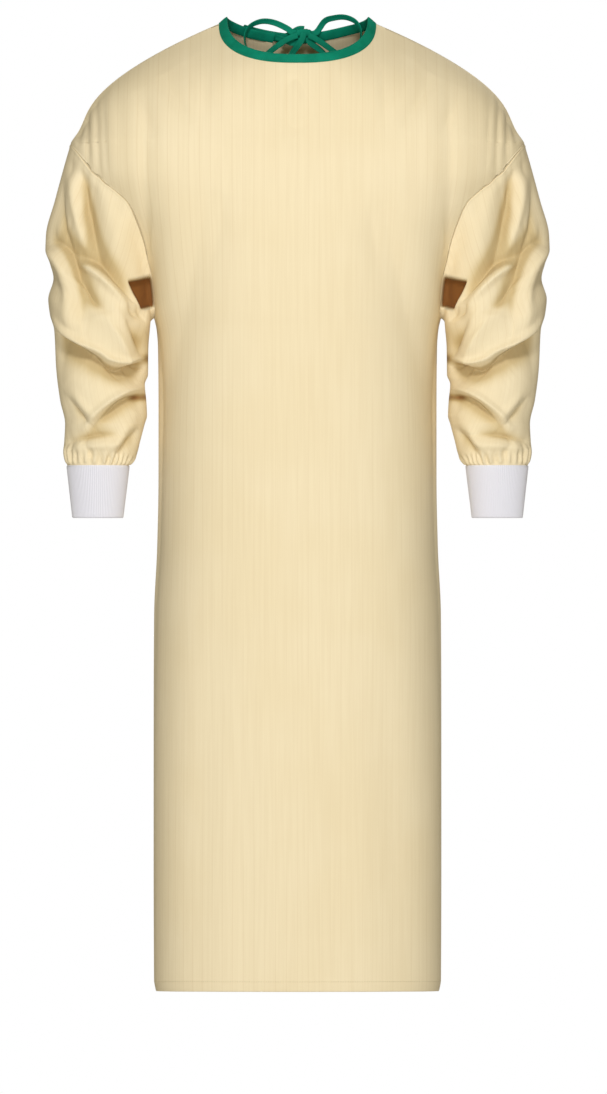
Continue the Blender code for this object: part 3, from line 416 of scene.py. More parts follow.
def cubic(values, slopes, i, t, width=1):
    """The smooth way from value i to the next, at the share t of its width."""
    level = (2 * t**3 - 3 * t**2 + 1) * values[i] + (3 * t**2 - 2 * t**3) * values[i + 1]
    return level + width * ((t**3 - 2 * t**2 + t) * slopes[i] + (t**3 - t**2) * slopes[i + 1])


def across_table(rows, column, at):
    """A column of a table, read along its first column by a cubic that never overshoots its rows."""
    order = sorted(rows, key=lambda row: row[0])
    xs = np.array([row[0] for row in order], float)
    ys = np.array([getattr(row, column) for row in order], float)
    steps = np.diff(ys) / np.diff(xs)
    slopes = np.zeros(len(xs))
    slopes[0], slopes[-1] = steps[0], steps[-1]
    rising = steps[:-1] * steps[1:] > 0
    means = 2 * steps[:-1] * steps[1:] / np.where(rising, steps[:-1] + steps[1:], 1)
    slopes[1:-1] = np.where(rising, means, 0)
    at = np.clip(np.asarray(at, float), xs[0], xs[-1])
    i = np.clip(np.searchsorted(xs, at) - 1, 0, len(xs) - 2)
    width = xs[i + 1] - xs[i]
    return cubic(ys, slopes, i, (at - xs[i]) / width, width)


def signed_power(value, power):
    return np.sign(value) * np.abs(value) ** power


def arc_lengths(line):
    """How far each point of a line, or of each line of a grid, lies from its start."""
    steps = np.linalg.norm(np.diff(line, axis=-2), axis=-1)
    start = np.zeros(steps.shape[:-1] + (1,))
    return np.concatenate([start, np.cumsum(steps, axis=-1)], axis=-1)


def along_line(places, lengths, line):
    """The points at the given places along a line, by its lengths."""
    return np.stack([np.interp(places, lengths, line[:, axis]) for axis in range(3)], axis=1)


def crease_height(points, creases):
    """How far the creases move the cloth out, in metres, at points seen in the front or back view."""
    spots = points[..., [0, 2]].reshape(-1, 2) / MM
    height = np.zeros(len(spots))
    t = np.linspace(0, 1, CREASE_STEPS + 1)
    for crease in creases:
        start, middle, end = np.array(crease[:6]).reshape(3, 2)
        bow = 2 * middle - (start + end) / 2
        line = np.outer((1 - t) ** 2, start) + np.outer(2 * t * (1 - t), bow) + np.outer(t**2, end)
        reach = CREASE_REACH * max(crease.left, crease.right)
        low, high = line.min(axis=0) - reach, line.max(axis=0) + reach
        near = np.flatnonzero(np.all((spots > low) & (spots < high), axis=1))
        if not len(near):
            continue
        run = np.diff(line, axis=0)
        away = spots[near, None] - line[:-1]
        along = np.clip(np.sum(away * run, axis=-1) / np.sum(run * run, axis=-1), 0, 1)
        gap = away - along[..., None] * run
        pick = np.argmin(np.hypot(gap[..., 0], gap[..., 1]), axis=1)
        row = np.arange(len(near))
        gap, share = gap[row, pick], (pick + along[row, pick]) / CREASE_STEPS
        direction = unit(run[pick])
        aside = direction[:, 0] * gap[:, 1] - direction[:, 1] * gap[:, 0]
        past_end = np.abs(np.sum(gap * direction, axis=1))
        on_left = smooth_step(aside, -CREASE_SIDE_BLEND, CREASE_SIDE_BLEND)
        width = mix(crease.right, crease.left, on_left)
        lip = mix(crease.right_lip, crease.left_lip, on_left)
        off = np.hypot(aside, past_end) / width
        trough = -crease.depth * np.exp(-(np.sqrt(off * off + TROUGH_ROUNDING) ** crease.sharp))
        roll = lip * np.exp(-((np.abs(aside) / width - LIP_PLACE) ** 2) - (past_end / width) ** 2)
        fade = np.sin(math.pi * mix(CREASE_END_SHARE, 1 - CREASE_END_SHARE, share))
        height[near] += (trough + roll) * fade
    return height.reshape(points.shape[:-1]) * MM


def neck_point(turn, share):
    """A point of the neck band: share 0 is on its seam and share 1 on the finished edge."""
    ring = NeckRing(*[mix(a, b, share) * MM for a, b in zip(NECK_SEAM, NECK_EDGE)])
    side, ahead = np.sin(turn), np.cos(turn)
    x = signed_power(side, 2 / NECK_SQUARENESS)
    y = -signed_power(ahead, 2 / NECK_SQUARENESS)
    across = np.clip(np.abs(x), 0, 1)
    is_front = ahead > 0
    squareness = np.where(is_front, FRONT_NECK_SQUARENESS, BACK_NECK_SQUARENESS)
    drop = (1 - across**squareness) ** (1 / squareness)
    z = mix(ring.side_z, np.where(is_front, ring.front_z, ring.back_z), drop)
    return np.stack([ring.half_width * x, np.where(is_front, ring.front, ring.back) * y, z], axis=-1)


def tube_point(turn, level):
    """A point of the plain body below the shoulders."""
    turn, level = np.broadcast_arrays(turn, level)
    mm = level / MM
    power = 2 / across_table(SECTIONS, "squareness", mm)
    side, ahead = np.sin(turn), np.cos(turn)
    half, front, back = [across_table(SECTIONS, name, mm) * MM for name in ("half_width", "front", "back")]
    x = half * signed_power(side, power)
    y = -np.where(ahead > 0, front, back) * signed_power(ahead, power)
    near_hem = 1 - smooth_step(level, HEM_LEVEL, HEM_LEVEL + HEM_LIFT_REACH)
    lift = FRONT_HEM_LIFT * np.clip(ahead, 0, 1) ** 0.8 * near_hem
    return np.stack([x, y, level + lift], axis=-1)


def plain_torso(turn, height):
    """The body without creases. Height is the level up to the shoulders, then runs on to 1 at the neck."""
    turn, height = np.broadcast_arrays(turn, height)
    low = tube_point(turn, np.minimum(height, SHOULDER_LEVEL))
    rise = np.clip((height - SHOULDER_LEVEL) / (1 - SHOULDER_LEVEL), 0, 1)
    ring = neck_point(turn, 0)
    slope = mix(CENTRE_SLOPE, SHOULDER_SLOPE, np.sin(turn) ** 2)
    climb = ring[..., 2] - low[..., 2]
    above = (height > SHOULDER_LEVEL)[..., None]
    lean = (low - tube_point(turn, SHOULDER_LEVEL - MM))[..., :2] / MM * above
    carried = lean * (climb * rise * (1 - rise) ** 3)[..., None]
    flat = low[..., :2] + (ring[..., :2] - low[..., :2]) * (rise**slope)[..., None] + carried
    peak = rise / TRIM_PEAK
    trim = 1 - SHOULDER_TRIM * (peak * np.exp(1 - peak)) ** 2 * np.sin(turn) ** 4
    z = low[..., 2] + climb * rise
    return np.concatenate([flat[..., :1] * trim[..., None], flat[..., 1:], z[..., None]], axis=-1)


def torso_normal(turn, height):
    above = height > SHOULDER_LEVEL
    step_up = np.where(above, YOKE_STEP, BODY_STEP)
    lower = np.where(above, np.maximum(height - step_up, SHOULDER_LEVEL), height - step_up)
    upper = height + step_up * (height < 1 - step_up)
    round_body = plain_torso(turn + TURN_STEP, height) - plain_torso(turn - TURN_STEP, height)
    return unit(np.cross(round_body, plain_torso(turn, upper) - plain_torso(turn, lower)))


def lap_offset(turn):
    """The left back stands out over the right back, which stands in under it."""
    degrees = np.degrees(turn)
    outer = smooth_step(degrees, LAP_START, LAP_FULL)
    inner = smooth_step(-degrees, LAP_START, LAP_FULL)
    return LAP_OFFSET * (outer - inner)


def torso_point(turn, height, out=0.0):
    """A point of the cloth of the body, moved out from it if wanted."""
    turn, height = np.broadcast_arrays(turn, height)
    plain = plain_torso(turn, height)
    ahead = np.cos(turn)
    front = crease_height(plain, FRONT_CREASES) * smooth_step(ahead, 0, 0.12)
    back = crease_height(plain, BACK_CREASES) * smooth_step(-ahead, 0, 0.3)
    moved = np.where(ahead > 0, front, back) + lap_offset(turn) + out
    return plain + torso_normal(turn, height) * moved[..., None]


def armhole_half(is_front, count):
    """One branch of the left armhole seam, from the shoulder point down to the underarm point."""
    levels = np.linspace(SHOULDER_LEVEL, UNDERARM_LEVEL, 400)
    x = across_table(ARMHOLE, "front_x" if is_front else "back_x", levels / MM) * MM
    widest = across_table(SECTIONS, "half_width", levels / MM) * MM
    power = across_table(SECTIONS, "squareness", levels / MM)
    turns = np.arcsin(np.clip(np.clip(x / widest, 0, 1) ** (power / 2), 0, 1))
    turns = turns if is_front else math.pi - turns
    lengths = arc_lengths(plain_torso(turns, levels))
    stops = np.linspace(0, lengths[-1], count + 1)
    return np.interp(stops, lengths, turns), np.interp(stops, lengths, levels)


def ring_reach(turn, level, half_way_round):
    """The distance along a level ring of the cloth, from the centre front or from the centre back."""
    fine = np.radians(np.arange(0, 271))
    centre_back = 180
    found = np.zeros(turn.shape)
    for row in range(turn.shape[0]):
        lengths = arc_lengths(tube_point(fine, level[row, 0]))
        reach = np.interp(np.abs(turn[row]), fine, lengths)
        from_back = reach - lengths[centre_back] + half_way_round
        found[row] = np.where(np.abs(turn[row]) > QUARTER, from_back, reach) * np.sign(turn[row])
    return found


def stripe_place(turn, height, points):
    """Where the stripes run: along the cloth below the shoulders, and straight up from there."""
    half_way_round = arc_lengths(tube_point(np.linspace(0, math.pi, 181), SHOULDER_LEVEL))[-1]
    place = ring_reach(turn, np.minimum(height, SHOULDER_LEVEL), half_way_round)
    fine = np.linspace(0, QUARTER, 120)
    ring = tube_point(fine, SHOULDER_LEVEL)
    lengths = arc_lengths(ring)
    above = np.interp(np.abs(points[..., 0]), ring[:, 0], lengths) * np.sign(points[..., 0])
    is_back = np.abs(turn) > QUARTER
    above = np.where(is_back, np.sign(turn) * half_way_round - above, above)
    return np.where(height > SHOULDER_LEVEL, above, place)


def edge_stops(length, count, first_edge, last_edge):
    """Places across a row of cloth, as the distance along it and how far out they lie, with its two edges.

    A seam's edge dips into its seam and ends in a flange inside. A turned edge folds back inside the cloth.
    """
    inner = np.linspace(0, 1, count + 1)[1:-1] * length
    first_along, first_out = EDGES[first_edge]
    last_along, last_out = EDGES[last_edge]
    places = np.concatenate([first_along, inner, length - last_along[::-1]])
    return places, np.concatenate([first_out, np.zeros(len(inner)), last_out[::-1]])


def sew_puckers(place, height):
    """The slight ripple that sewing leaves, by the distance along a seam."""
    return PUCKER_HEIGHT * (np.sin(place / (2.3 * MM)) + 0.6 * np.sin(place / (3.7 * MM) + height * 40))


def panel_rows(is_front):
    """A panel's rows from the turned hem to the neck: the turn of its side, the height, and how far out."""
    armhole_turns, armhole_levels = armhole_half(is_front, ARMHOLE_ROWS)
    skirt = np.linspace(HEM_LEVEL + 4 * MM, UNDERARM_LEVEL, SKIRT_ROWS)[:-1]
    yoke = mix(SHOULDER_LEVEL, 1, np.linspace(0, 1, YOKE_ROWS + 1)[1:])
    heights = np.concatenate([HEM_LEVEL + TURNED_HEM, skirt, armhole_levels[::-1], yoke])
    outs, side = np.zeros(len(heights)), np.full(len(heights), QUARTER)
    outs[: len(TURNED_OUT)] = TURNED_OUT
    first = len(TURNED_HEM) + len(skirt)
    side[first : first + len(armhole_turns)] = armhole_turns[::-1]
    return side, heights, outs


def lap_turns(reach, heights):
    """The turn of a free back edge in each row, straight from the neck to the hem."""
    levels = np.where(heights > SHOULDER_LEVEL, SHOULDER_LEVEL * (1 - heights), heights)
    past_centre = mix(*reach, np.clip(levels / HEM_LEVEL, 0, 1))
    turns = np.linspace(QUARTER, 3 * QUARTER, 181)
    rows = zip(past_centre, heights)
    return np.array([np.interp(past, -plain_torso(turns, height)[:, 0], turns) for past, height in rows])


def cloth_grid(points, u, v):
    """A grid of points with its cloth coordinates, which run with the rows or the columns, or are a grid."""
    shape = points.shape[:2]
    return points, np.stack([np.broadcast_to(u, shape), np.broadcast_to(v, shape)], axis=-1)


def panel(first_turns, last_turns, heights, outs, columns, first_edge, last_edge):
    """A panel of the body as a grid of points with the stripes' places."""
    turns, across_outs = [], []
    for first, last, height in zip(first_turns, last_turns, heights):
        fine = np.linspace(first, last, 240)
        lengths = arc_lengths(plain_torso(fine, height))
        places, out = edge_stops(lengths[-1], columns, first_edge, last_edge)
        turns.append(np.interp(places, lengths, fine))
        across_outs.append(out)
    turns = np.array(turns)
    heights = np.broadcast_to(heights[:, None], turns.shape)
    out = np.array(across_outs) + outs[:, None]
    points = torso_point(turns, heights, out)
    u = stripe_place(turns, heights, plain_torso(turns, heights))
    rise = neck_point(turns[-1], 1) - neck_point(turns[-1], 0)
    points = np.concatenate([points, [points[-1] + rise * share for share in ROWS_IN_BINDING]])
    u = np.concatenate([u, u[-1:], u[-1:]])
    return cloth_grid(points, u, arc_lengths(points[:, points.shape[1] // 2])[:, None])


def gather_wave(around):
    phase = GATHER_COUNT * around + 1.6 * np.sin(3 * around) + 0.9 * np.sin(5 * around + 1)
    return np.sin(phase) * (1 + 0.35 * np.sin(4 * around + 0.6))


def sleeve_round(around):
    """The shape of a level ring of the sleeve and cuff: how far outward and how far ahead it reaches."""
    return [signed_power(part, 2 / SLEEVE_SQUARENESS) for part in (np.cos(around), np.sin(around))]


def plain_sleeve(share, around):
    """Rings of the left sleeve without folds, at their shares of the way down to the cuff."""
    side, ahead = sleeve_round(around)
    outer_z = mix(SHOULDER_LEVEL, SLEEVE_END, share)
    inner_z = mix(UNDERARM_LEVEL, SLEEVE_END, share)
    outer_x = across_table(SLEEVE_OUTER_EDGE, "x", outer_z / MM) * MM
    inner_x = across_table(SLEEVE_INNER_EDGE, "x", inner_z / MM) * MM
    columns = ("front", "back", "middle_y")
    front, back, middle_y = [across_table(SLEEVE_DEPTHS, name, share) * MM for name in columns]
    x = (outer_x + inner_x) / 2 + (outer_x - inner_x) / 2 * side
    z = (outer_z + inner_z) / 2 + (outer_z - inner_z) / 2 * side
    y = middle_y - np.where(ahead > 0, front, back) * ahead
    return np.stack([x, y, z], axis=-1)


def sleeve_height(grid, backward, share, around, seam_place):
    """How far out the sleeve's cloth lies, with its folds, its gathers and the ridge along its seam."""
    front = crease_height(grid, SLEEVE_FRONT_CREASES) * smooth_step(-backward, 0, FACING_BLEND)
    back = crease_height(grid, SLEEVE_BACK_CREASES) * smooth_step(backward, 0, FACING_BLEND)
    height = (front + back) * window(share, *FOLD_FADE_SHARES) * SLEEVE_FOLD_LIFT
    height += GATHER_DEPTH * window(share, *GATHER_SHARES) * gather_wave(around)
    off_ridge = (share * SLEEVE_LENGTH - RIDGE_PLACE) / RIDGE_WIDTH
    height += RIDGE_HEIGHT * np.exp(-(off_ridge**2))
    return height + sew_puckers(seam_place, 0) * np.exp(-share * 60)


def sleeve_pocket(x, z, backward, share):
    """How far inside the underarm pocket each place of the sleeve is, from 0 to 1."""
    slant_x = x + (z - POCKET_HEAD[0]) * POCKET_SIDE_SLANT
    slant_z = z + (x - POCKET_INNER[0]) * POCKET_HEAD_SLANT
    inside = window(slant_x, *POCKET_INNER, *POCKET_OUTER) * window(slant_z, *POCKET_FOOT, *POCKET_HEAD)
    return inside * smooth_step(-backward, 0.15, 0.5) * smooth_step(share, 0, 0.012)


def sleeve_painted_shade(x, z, backward, pocket, height):
    """How much painted shade darkens the sleeve's cloth at each place, from 0 to 1: in the underarm pocket,
    inside its deep folds and in the hollows of the table.
    """
    shade = pocket + PAINTED_FOLD_SHADE * smooth_step(-height, *PAINTED_FOLD_SHADE_DEPTHS)
    for nook in PAINTED_NOOK_SHADES:
        off = ((x - nook.x) / nook.half_width) ** 2 + ((z - nook.z) / nook.half_height) ** 2
        shade += nook.shade * np.exp(-off) * smooth_step(-backward, -0.3, 0.1)
    return np.clip(shade, 0, 1)


def sleeve_grid():
    """The left sleeve as rings from the armhole to the cuff, from the underarm round by the back."""
    front = torso_point(*armhole_half(True, HALF_SLEEVE_COLUMNS))
    back = torso_point(*armhole_half(False, HALF_SLEEVE_COLUMNS))
    armhole = np.concatenate([front, back[::-1][1:-1]])
    columns = len(armhole)
    around = np.arange(columns) / columns * TAU
    share = np.concatenate([[0, 0.002, 0.0045], np.linspace(0.0075, 1, SLEEVE_RINGS)])[:, None]
    off_plain = armhole - plain_sleeve(share[:1], around)
    grid = plain_sleeve(share, around) + off_plain * (1 - smooth_step(share, 0, ARMHOLE_FADE))[..., None]
    across = np.roll(grid, -1, axis=1) - np.roll(grid, 1, axis=1)
    normal = unit(np.cross(across, np.gradient(grid, axis=0)))
    for _ in range(3):
        normal = unit(normal + np.roll(normal, 1, axis=1) + np.roll(normal, -1, axis=1))
    x, z, backward = grid[..., 0] / MM, grid[..., 2] / MM, normal[..., 1]
    height = sleeve_height(grid, backward, share, around, arc_lengths(armhole))
    pocket = sleeve_pocket(x, z, backward, share)
    shade = sleeve_painted_shade(x, z, backward, pocket, height)
    points = grid + normal * height[..., None] + POCKET_INTO * (pocket * POCKET_DEPTH)[..., None]
    flange = points[:1] - normal[:1] * SEAM_FLANGE
    tuck = points[-1:] - normal[-1:] * 2 * MM + np.array([0, 0, -3 * MM])
    points = np.concatenate([flange, points, tuck])
    lengths = arc_lengths(grid.mean(axis=1))
    v = np.concatenate([[-SEAM_FLANGE], lengths, [lengths[-1] + 3 * MM]])
    spans = np.concatenate([grid[:1], grid, grid[-1:]])
    spans = np.concatenate([spans, spans[:, :1]], axis=1)
    reach = arc_lengths(spans)
    half = HALF_SLEEVE_COLUMNS
    front_u = reach[:, : half + 1]
    back_u = reach[:, half:] - reach[:, -1:]
    order = np.concatenate([np.arange(half, columns), np.arange(0, half + 1)])
    u = np.concatenate([back_u[:, :-1], front_u], axis=1)
    shade = np.concatenate([shade[:1], shade, shade[-1:]])[:, order]
    return *cloth_grid(points[:, order], u, v[:, None]), shade


def cuff_grid():
    """The left cuff: its outside from the seam down, its folded end, and its inside back up."""
    columns = CUFF_RIBS * COLUMNS_A_RIB
    around = np.arange(columns + 1) / columns * TAU + math.pi
    side, ahead = sleeve_round(around)
    down = np.linspace(0, 1, CUFF_RINGS)
    share = np.concatenate([[-0.03], down, [1.012, 1.018, 1.012, 1.0, 0.8, 0.4, 0.05]])[:, None]
    out = np.concatenate([[-1.4], np.ones(CUFF_RINGS), [0.75, 0, -0.75, -1, -1, -1, -1]])[:, None]
    ribbed = np.concatenate([[0], smooth_step(down, 0, 0.03), [0.9, 0.6, 0.3, 0, 0, 0, 0]])[:, None]
    half_x = mix(CUFF_TOP_HALVES[0], CUFF_BOTTOM_HALVES[0], share)
    half_y = mix(CUFF_TOP_HALVES[1], CUFF_BOTTOM_HALVES[1], share)
    waver = 0.35 * MM * np.sin(3 * around + 2.0) * smooth_step(share, 0.1, 1)
    moved = out * CUFF_SKIN + np.cos(around * CUFF_RIBS) * RIB_HEIGHT * ribbed + waver
    middle = np.stack([CUFF_MIDDLE_X + half_x * side, CUFF_MIDDLE_Y - half_y * ahead], axis=-1)
    outward = unit(np.stack([side / half_x, -ahead / half_y], axis=-1))
    z = np.broadcast_to(mix(CUFF_TOP, CUFF_BOTTOM, share), moved.shape)
    points = np.concatenate([middle + outward * moved[..., None], z[..., None]], axis=-1)
    return cloth_grid(points, around / TAU * CUFF_ROUND, share * CUFF_LENGTH)


def band_grid():
    """The neck binding: a strip folded over the neck edge, from the right back's free edge to the left's."""
    inner_turn = lap_turns(INNER_LAP_REACH, np.array([1.0]))[0]
    outer_turn = lap_turns(OUTER_LAP_REACH, np.array([1.0]))[0]
    turns = np.linspace(-inner_turn, outer_turn, 900)
    lengths = arc_lengths(neck_point(turns, 0.5))
    turns = np.interp(np.linspace(0, lengths[-1], BAND_COLUMNS), lengths, turns)
    seam = torso_point(turns, np.ones(BAND_COLUMNS))
    rise = neck_point(turns, 1) - neck_point(turns, 0)
    along = np.gradient(seam + rise / 2, axis=0)
    normal = unit(np.cross(along, rise))
    place = arc_lengths(seam)
    rows = []
    for share, out in BINDING_SECTION:
        ripple = sew_puckers(place, share) * 0.5 * np.sign(out)
        rows.append(seam + rise * share + normal * (out * MM + ripple)[:, None])
    points, uv = cloth_grid(np.array(rows), place, np.array(BINDING_SECTION)[:, :1] * BINDING_WIDTH)
    stitch_line = seam + rise * BINDING_STITCHES_UP + normal * BINDING_STITCHES_OUT
    return points, uv, stitch_line, normal


def smooth_route(stops):
    """A smooth line through a route's stops, in equal steps, with the lean at each station."""
    stops = np.array(stops, float)
    places, leans = stops[:, :3] * MM, np.radians(stops[:, 3])
    fine = np.linspace(0, len(stops) - 1, 600)
    i = np.clip(fine.astype(int), 0, len(stops) - 2)
    line = cubic(places, np.gradient(places, axis=0), i, (fine - i)[:, None])
    lengths = arc_lengths(line)
    stations = max(6, round(lengths[-1] / TAPE_STEP))
    stops_at = np.linspace(0, lengths[-1], stations + 1)
    path = along_line(stops_at, lengths, line)
    lean = np.interp(np.interp(stops_at, lengths, fine), np.arange(len(stops)), leans)
    for _ in range(4):
        path[1:-1] = (path[:-2] + 2 * path[1:-1] + path[2:]) / 4
        lean[1:-1] = (lean[:-2] + 2 * lean[1:-1] + lean[2:]) / 4
    return path, lean


def tape_grid(path, lean):
    """A flat tape with soft edges and a seam groove along its middle, as a grid round its section."""
    along = unit(np.gradient(path, axis=0))
    flat = unit(np.cross(along, np.array([0.0, 1.0, 0.0])))
    face = np.cross(flat, along)
    across = flat * np.cos(lean)[:, None] + face * np.sin(lean)[:, None]
    normal = np.cross(along, across)
    half = np.concatenate([TAPE_QUARTER, TAPE_QUARTER[-2::-1] * (1, -1)])
    section = np.concatenate([half, half[-2::-1] * (-1, 1)])
    aside, out = section[:, :1], section[:, 1:]
    place = arc_lengths(path)
    curl = TAPE_CURL * np.sin(place / TAPE_CURL_WAVE) * (aside * aside - 0.4)
    sideways = across * (aside * TAPE_WIDTH / 2)[..., None]
    points = path + sideways + normal * (out * TAPE_THICKNESS + curl)[..., None]
    return cloth_grid(points, np.linspace(0, 2 * TAPE_WIDTH, len(section))[:, None], place)


def knot_grid():
    """The knot: a rounded bundle with the tape's turn wrapped across it."""
    turn, lift = np.meshgrid(np.linspace(0, TAU, 97), np.linspace(-QUARTER, QUARTER, 49))
    x = signed_power(np.sin(lift), 0.55)
    round_it = np.abs(np.cos(lift)) ** 0.55
    y = signed_power(np.cos(turn), 0.7) * round_it
    z = signed_power(np.sin(turn), 0.7) * round_it
    wrap = 1 + 0.05 * np.exp(-((x / 0.45) ** 4)) - 0.09 * np.exp(-(((np.abs(x) - 0.62) / 0.09) ** 2))
    ripple = 1 + 0.025 * np.sin(9 * x + 2 * turn) * round_it
    shape = np.stack([x, y * wrap * ripple, z * wrap * ripple], axis=-1)
    return cloth_grid(shape * KNOT_HALVES / KNOT_SWELL + KNOT_CENTRE, turn / TAU * 0.03, x * 0.01)


def make_piece(name, points, faces, material):
    mesh = bpy.data.meshes.new(name)
    mesh.from_pydata(points.tolist(), [], faces.tolist())
    mesh.validate()
    mesh.materials.append(material)
    mesh.shade_smooth()
    thing = bpy.data.objects.new(name, mesh)
    bpy.context.scene.collection.objects.link(thing)
    return thing


def make_cloth(name, grid, material, flipped=False, shade=None):
    """A cloth piece from a grid of points and its cloth coordinates in metres."""
    points, uv = grid
    rows, columns = points.shape[:2]
    index = np.arange(rows * columns).reshape(rows, columns)
    corners = [index[:-1, :-1], index[:-1, 1:], index[1:, 1:], index[1:, :-1]]
    quads = np.stack(corners, axis=-1).reshape(-1, 4)
    if flipped:
        quads = quads[:, ::-1]
    piece = make_piece(name, points.reshape(-1, 3), quads, material)
    layer = piece.data.uv_layers.new(name="cloth")
    layer.data.foreach_set("uv", uv.reshape(-1, 2)[quads.ravel()].ravel())
    # The painted shade of the folds goes into an attribute that darkens the cloth's colour
    if shade is not None:
        painted_shade = piece.data.attributes.new("painted_fold_shade", "FLOAT", "POINT")
        painted_shade.data.foreach_set("value", shade.ravel())
    return piece


def stitches(line, normals, gap, length):
    """Thread stitches along a line, as points and faces."""
    lengths = arc_lengths(line)
    starts = np.arange(gap / 2, lengths[-1] - gap, gap)
    out = unit(along_line(starts + length / 2, lengths, normals))
    ahead = unit(along_line(starts + length, lengths, line) - along_line(starts, lengths, line))
    aside = np.cross(out, ahead)
    points, faces = [], []
    for share, size in STITCH_RINGS:
        centre = along_line(starts + length * share, lengths, line)
        centre += out * (STITCH_RADIUS * 0.6 * size - 0.1 * MM)
        for a, b in ((1, 0), (0, 1), (-1, 0), (0, -1)):
            points.append(centre + (aside * a + out * b) * STITCH_RADIUS * size)
    points = np.stack(points, axis=1)
    for ring in range(4):
        for side in range(4):
            here, there = ring * 4 + side, ring * 4 + (side + 1) % 4
            faces.append((here, there, there + 4, here + 4))
    faces = np.array(faces)
    all_faces = faces[None] + (np.arange(len(starts)) * points.shape[1])[:, None, None]
    return points.reshape(-1, 3), all_faces.reshape(-1, 4)


def body_stitches(turns, levels, out):
    """A row of stitches on the cloth of the body."""
    line = torso_point(turns, levels, out)
    return stitches(line, torso_normal(turns, levels), STITCH_GAP, STITCH_LENGTH)


def stitch_piece(name, rows, material):
    """Joins rows of stitches into one piece."""
    points, faces, start = [], [], 0
    for row_points, row_faces in rows:
        points.append(row_points)
        faces.append(row_faces + start)
        start += len(row_points)
    return make_piece(name, np.concatenate(points), np.concatenate(faces), material)


class Nodes:
    """A small helper to build a material's nodes."""

    def __init__(self, name):
        self.material = bpy.data.materials.new(name)
        self.material.use_nodes = True
        self.tree = self.material.node_tree

    def finish(self, **sockets):
        """Feeds the shader's sockets, whose names have a low line for each space, and gives the material."""
        shader = self.tree.nodes["Principled BSDF"]
        shader.inputs["Metallic"].default_value = 0
        for name, value in sockets.items():
            self.feed(shader.inputs[name.replace("_", " ")], value)
        return self.material

    def feed(self, socket, value):
        if isinstance(value, bpy.types.NodeSocket):
            self.tree.links.new(value, socket)
        else:
            socket.default_value = value

    def add(self, kind, inputs=None, **settings):
        """A node with its settings, and with its inputs fed."""
        node = self.tree.nodes.new(kind)
        for key, value in settings.items():
            setattr(node, key, value)
        for key, value in (inputs or {}).items():
            self.feed(node.inputs[key], value)
        return node

    def math(self, operation, first, second=0.0):
        return self.add("ShaderNodeMath", {0: first, 1: second}, operation=operation).outputs[0]

    def between(self, value, low, high, to_low=0.0, to_high=1.0):
        inputs = {"Value": value, "From Min": low, "From Max": high, "To Min": to_low, "To Max": to_high}
        return self.add("ShaderNodeMapRange", inputs, interpolation_type="SMOOTHSTEP").outputs[0]

    def blend(self, share, first, second):
        inputs = {"Factor": share, 6: first, 7: second}
        return self.add("ShaderNodeMix", inputs, data_type="RGBA").outputs[2]

    def cloth_place(self):
        place = self.add("ShaderNodeUVMap", uv_map="cloth")
        return self.add("ShaderNodeSeparateXYZ", {0: place.outputs[0]}).outputs[:2]

    def noise(self, scale, detail=2.0, place=None):
        place = place or self.add("ShaderNodeTexCoord").outputs["Object"]
        inputs = {"Vector": place, "Scale": scale, "Detail": detail}
        return self.add("ShaderNodeTexNoise", inputs).outputs[0]

    def streaks(self, u, v):
        """Uneven threads, drawn out along the cloth's length."""
        inputs = {0: self.math("MULTIPLY", u, 260.0), 1: self.math("MULTIPLY", v, 7.0)}
        return self.noise(1.0, 3.0, self.add("ShaderNodeCombineXYZ", inputs).outputs[0])

    def weave(self, u, v, thread):
        """A plain weave, high where a warp or a weft thread is on top."""
        warp = self.math("SINE", self.math("MULTIPLY", u, math.pi / thread))
        weft = self.math("SINE", self.math("MULTIPLY", v, math.pi / thread))
        return self.math("ABSOLUTE", self.math("MULTIPLY", warp, weft))

    def bump(self, height, distance, strength, under=None):
        inputs = {"Height": height, "Distance": distance, "Strength": strength}
        if under is not None:
            inputs["Normal"] = under
        return self.add("ShaderNodeBump", inputs).outputs[0]


def yellow_cloth():
    made = Nodes("yellow_striped_cloth")
    u, v = made.cloth_place()
    stripe_at = made.math("FRACT", made.math("DIVIDE", made.math("ADD", u, 7 * MM), STRIPE_PERIOD))
    from_line = made.math("ABSOLUTE", made.math("SUBTRACT", stripe_at, 0.5))
    line = made.between(from_line, 0.02, 0.055, 1.0, 0.0)
    patchy = made.between(made.noise(7.0), 0.35, 0.65)
    base = made.blend(patchy, (0.885, 0.757, 0.512, 1), (0.902, 0.779, 0.540, 1))
    uneven = made.between(made.noise(2.6), 0.35, 0.65, 0.04, 0.17)
    streaks = made.between(made.streaks(u, v), 0.3, 0.7, 0.0, 0.14)
    streaked = made.blend(streaks, base, (0.70, 0.55, 0.31, 1))
    striped = made.blend(made.math("MULTIPLY", line, uneven), streaked, (0.62, 0.44, 0.20, 1))
    # Painted shade: the cloth's colour turns tan and then dark brown where the attribute marks shaded folds
    # and the underarm pocket
    painted_shade = made.add("ShaderNodeAttribute", attribute_name="painted_fold_shade").outputs["Fac"]
    with_painted_tan_shade = made.blend(made.between(painted_shade, 0.0, 0.6, 0.0, 0.75), striped, (0.52, 0.37, 0.125, 1))
    shaded = made.blend(made.between(painted_shade, 0.3, 1.0, 0.0, 0.96), with_painted_tan_shade, (0.21, 0.072, 0.010, 1))
    soft = made.bump(made.noise(34.0, 3.0), 0.9 * MM, 0.35)
    woven = made.bump(made.weave(u, v, 0.45 * MM), 0.04 * MM, 0.5, soft)
    shine = {"Roughness": 0.82, "Specular_IOR_Level": 0.25, "Sheen_Weight": 0.06, "Sheen_Roughness": 0.5}
    return made.finish(Base_Color=shaded, Normal=woven, **shine)


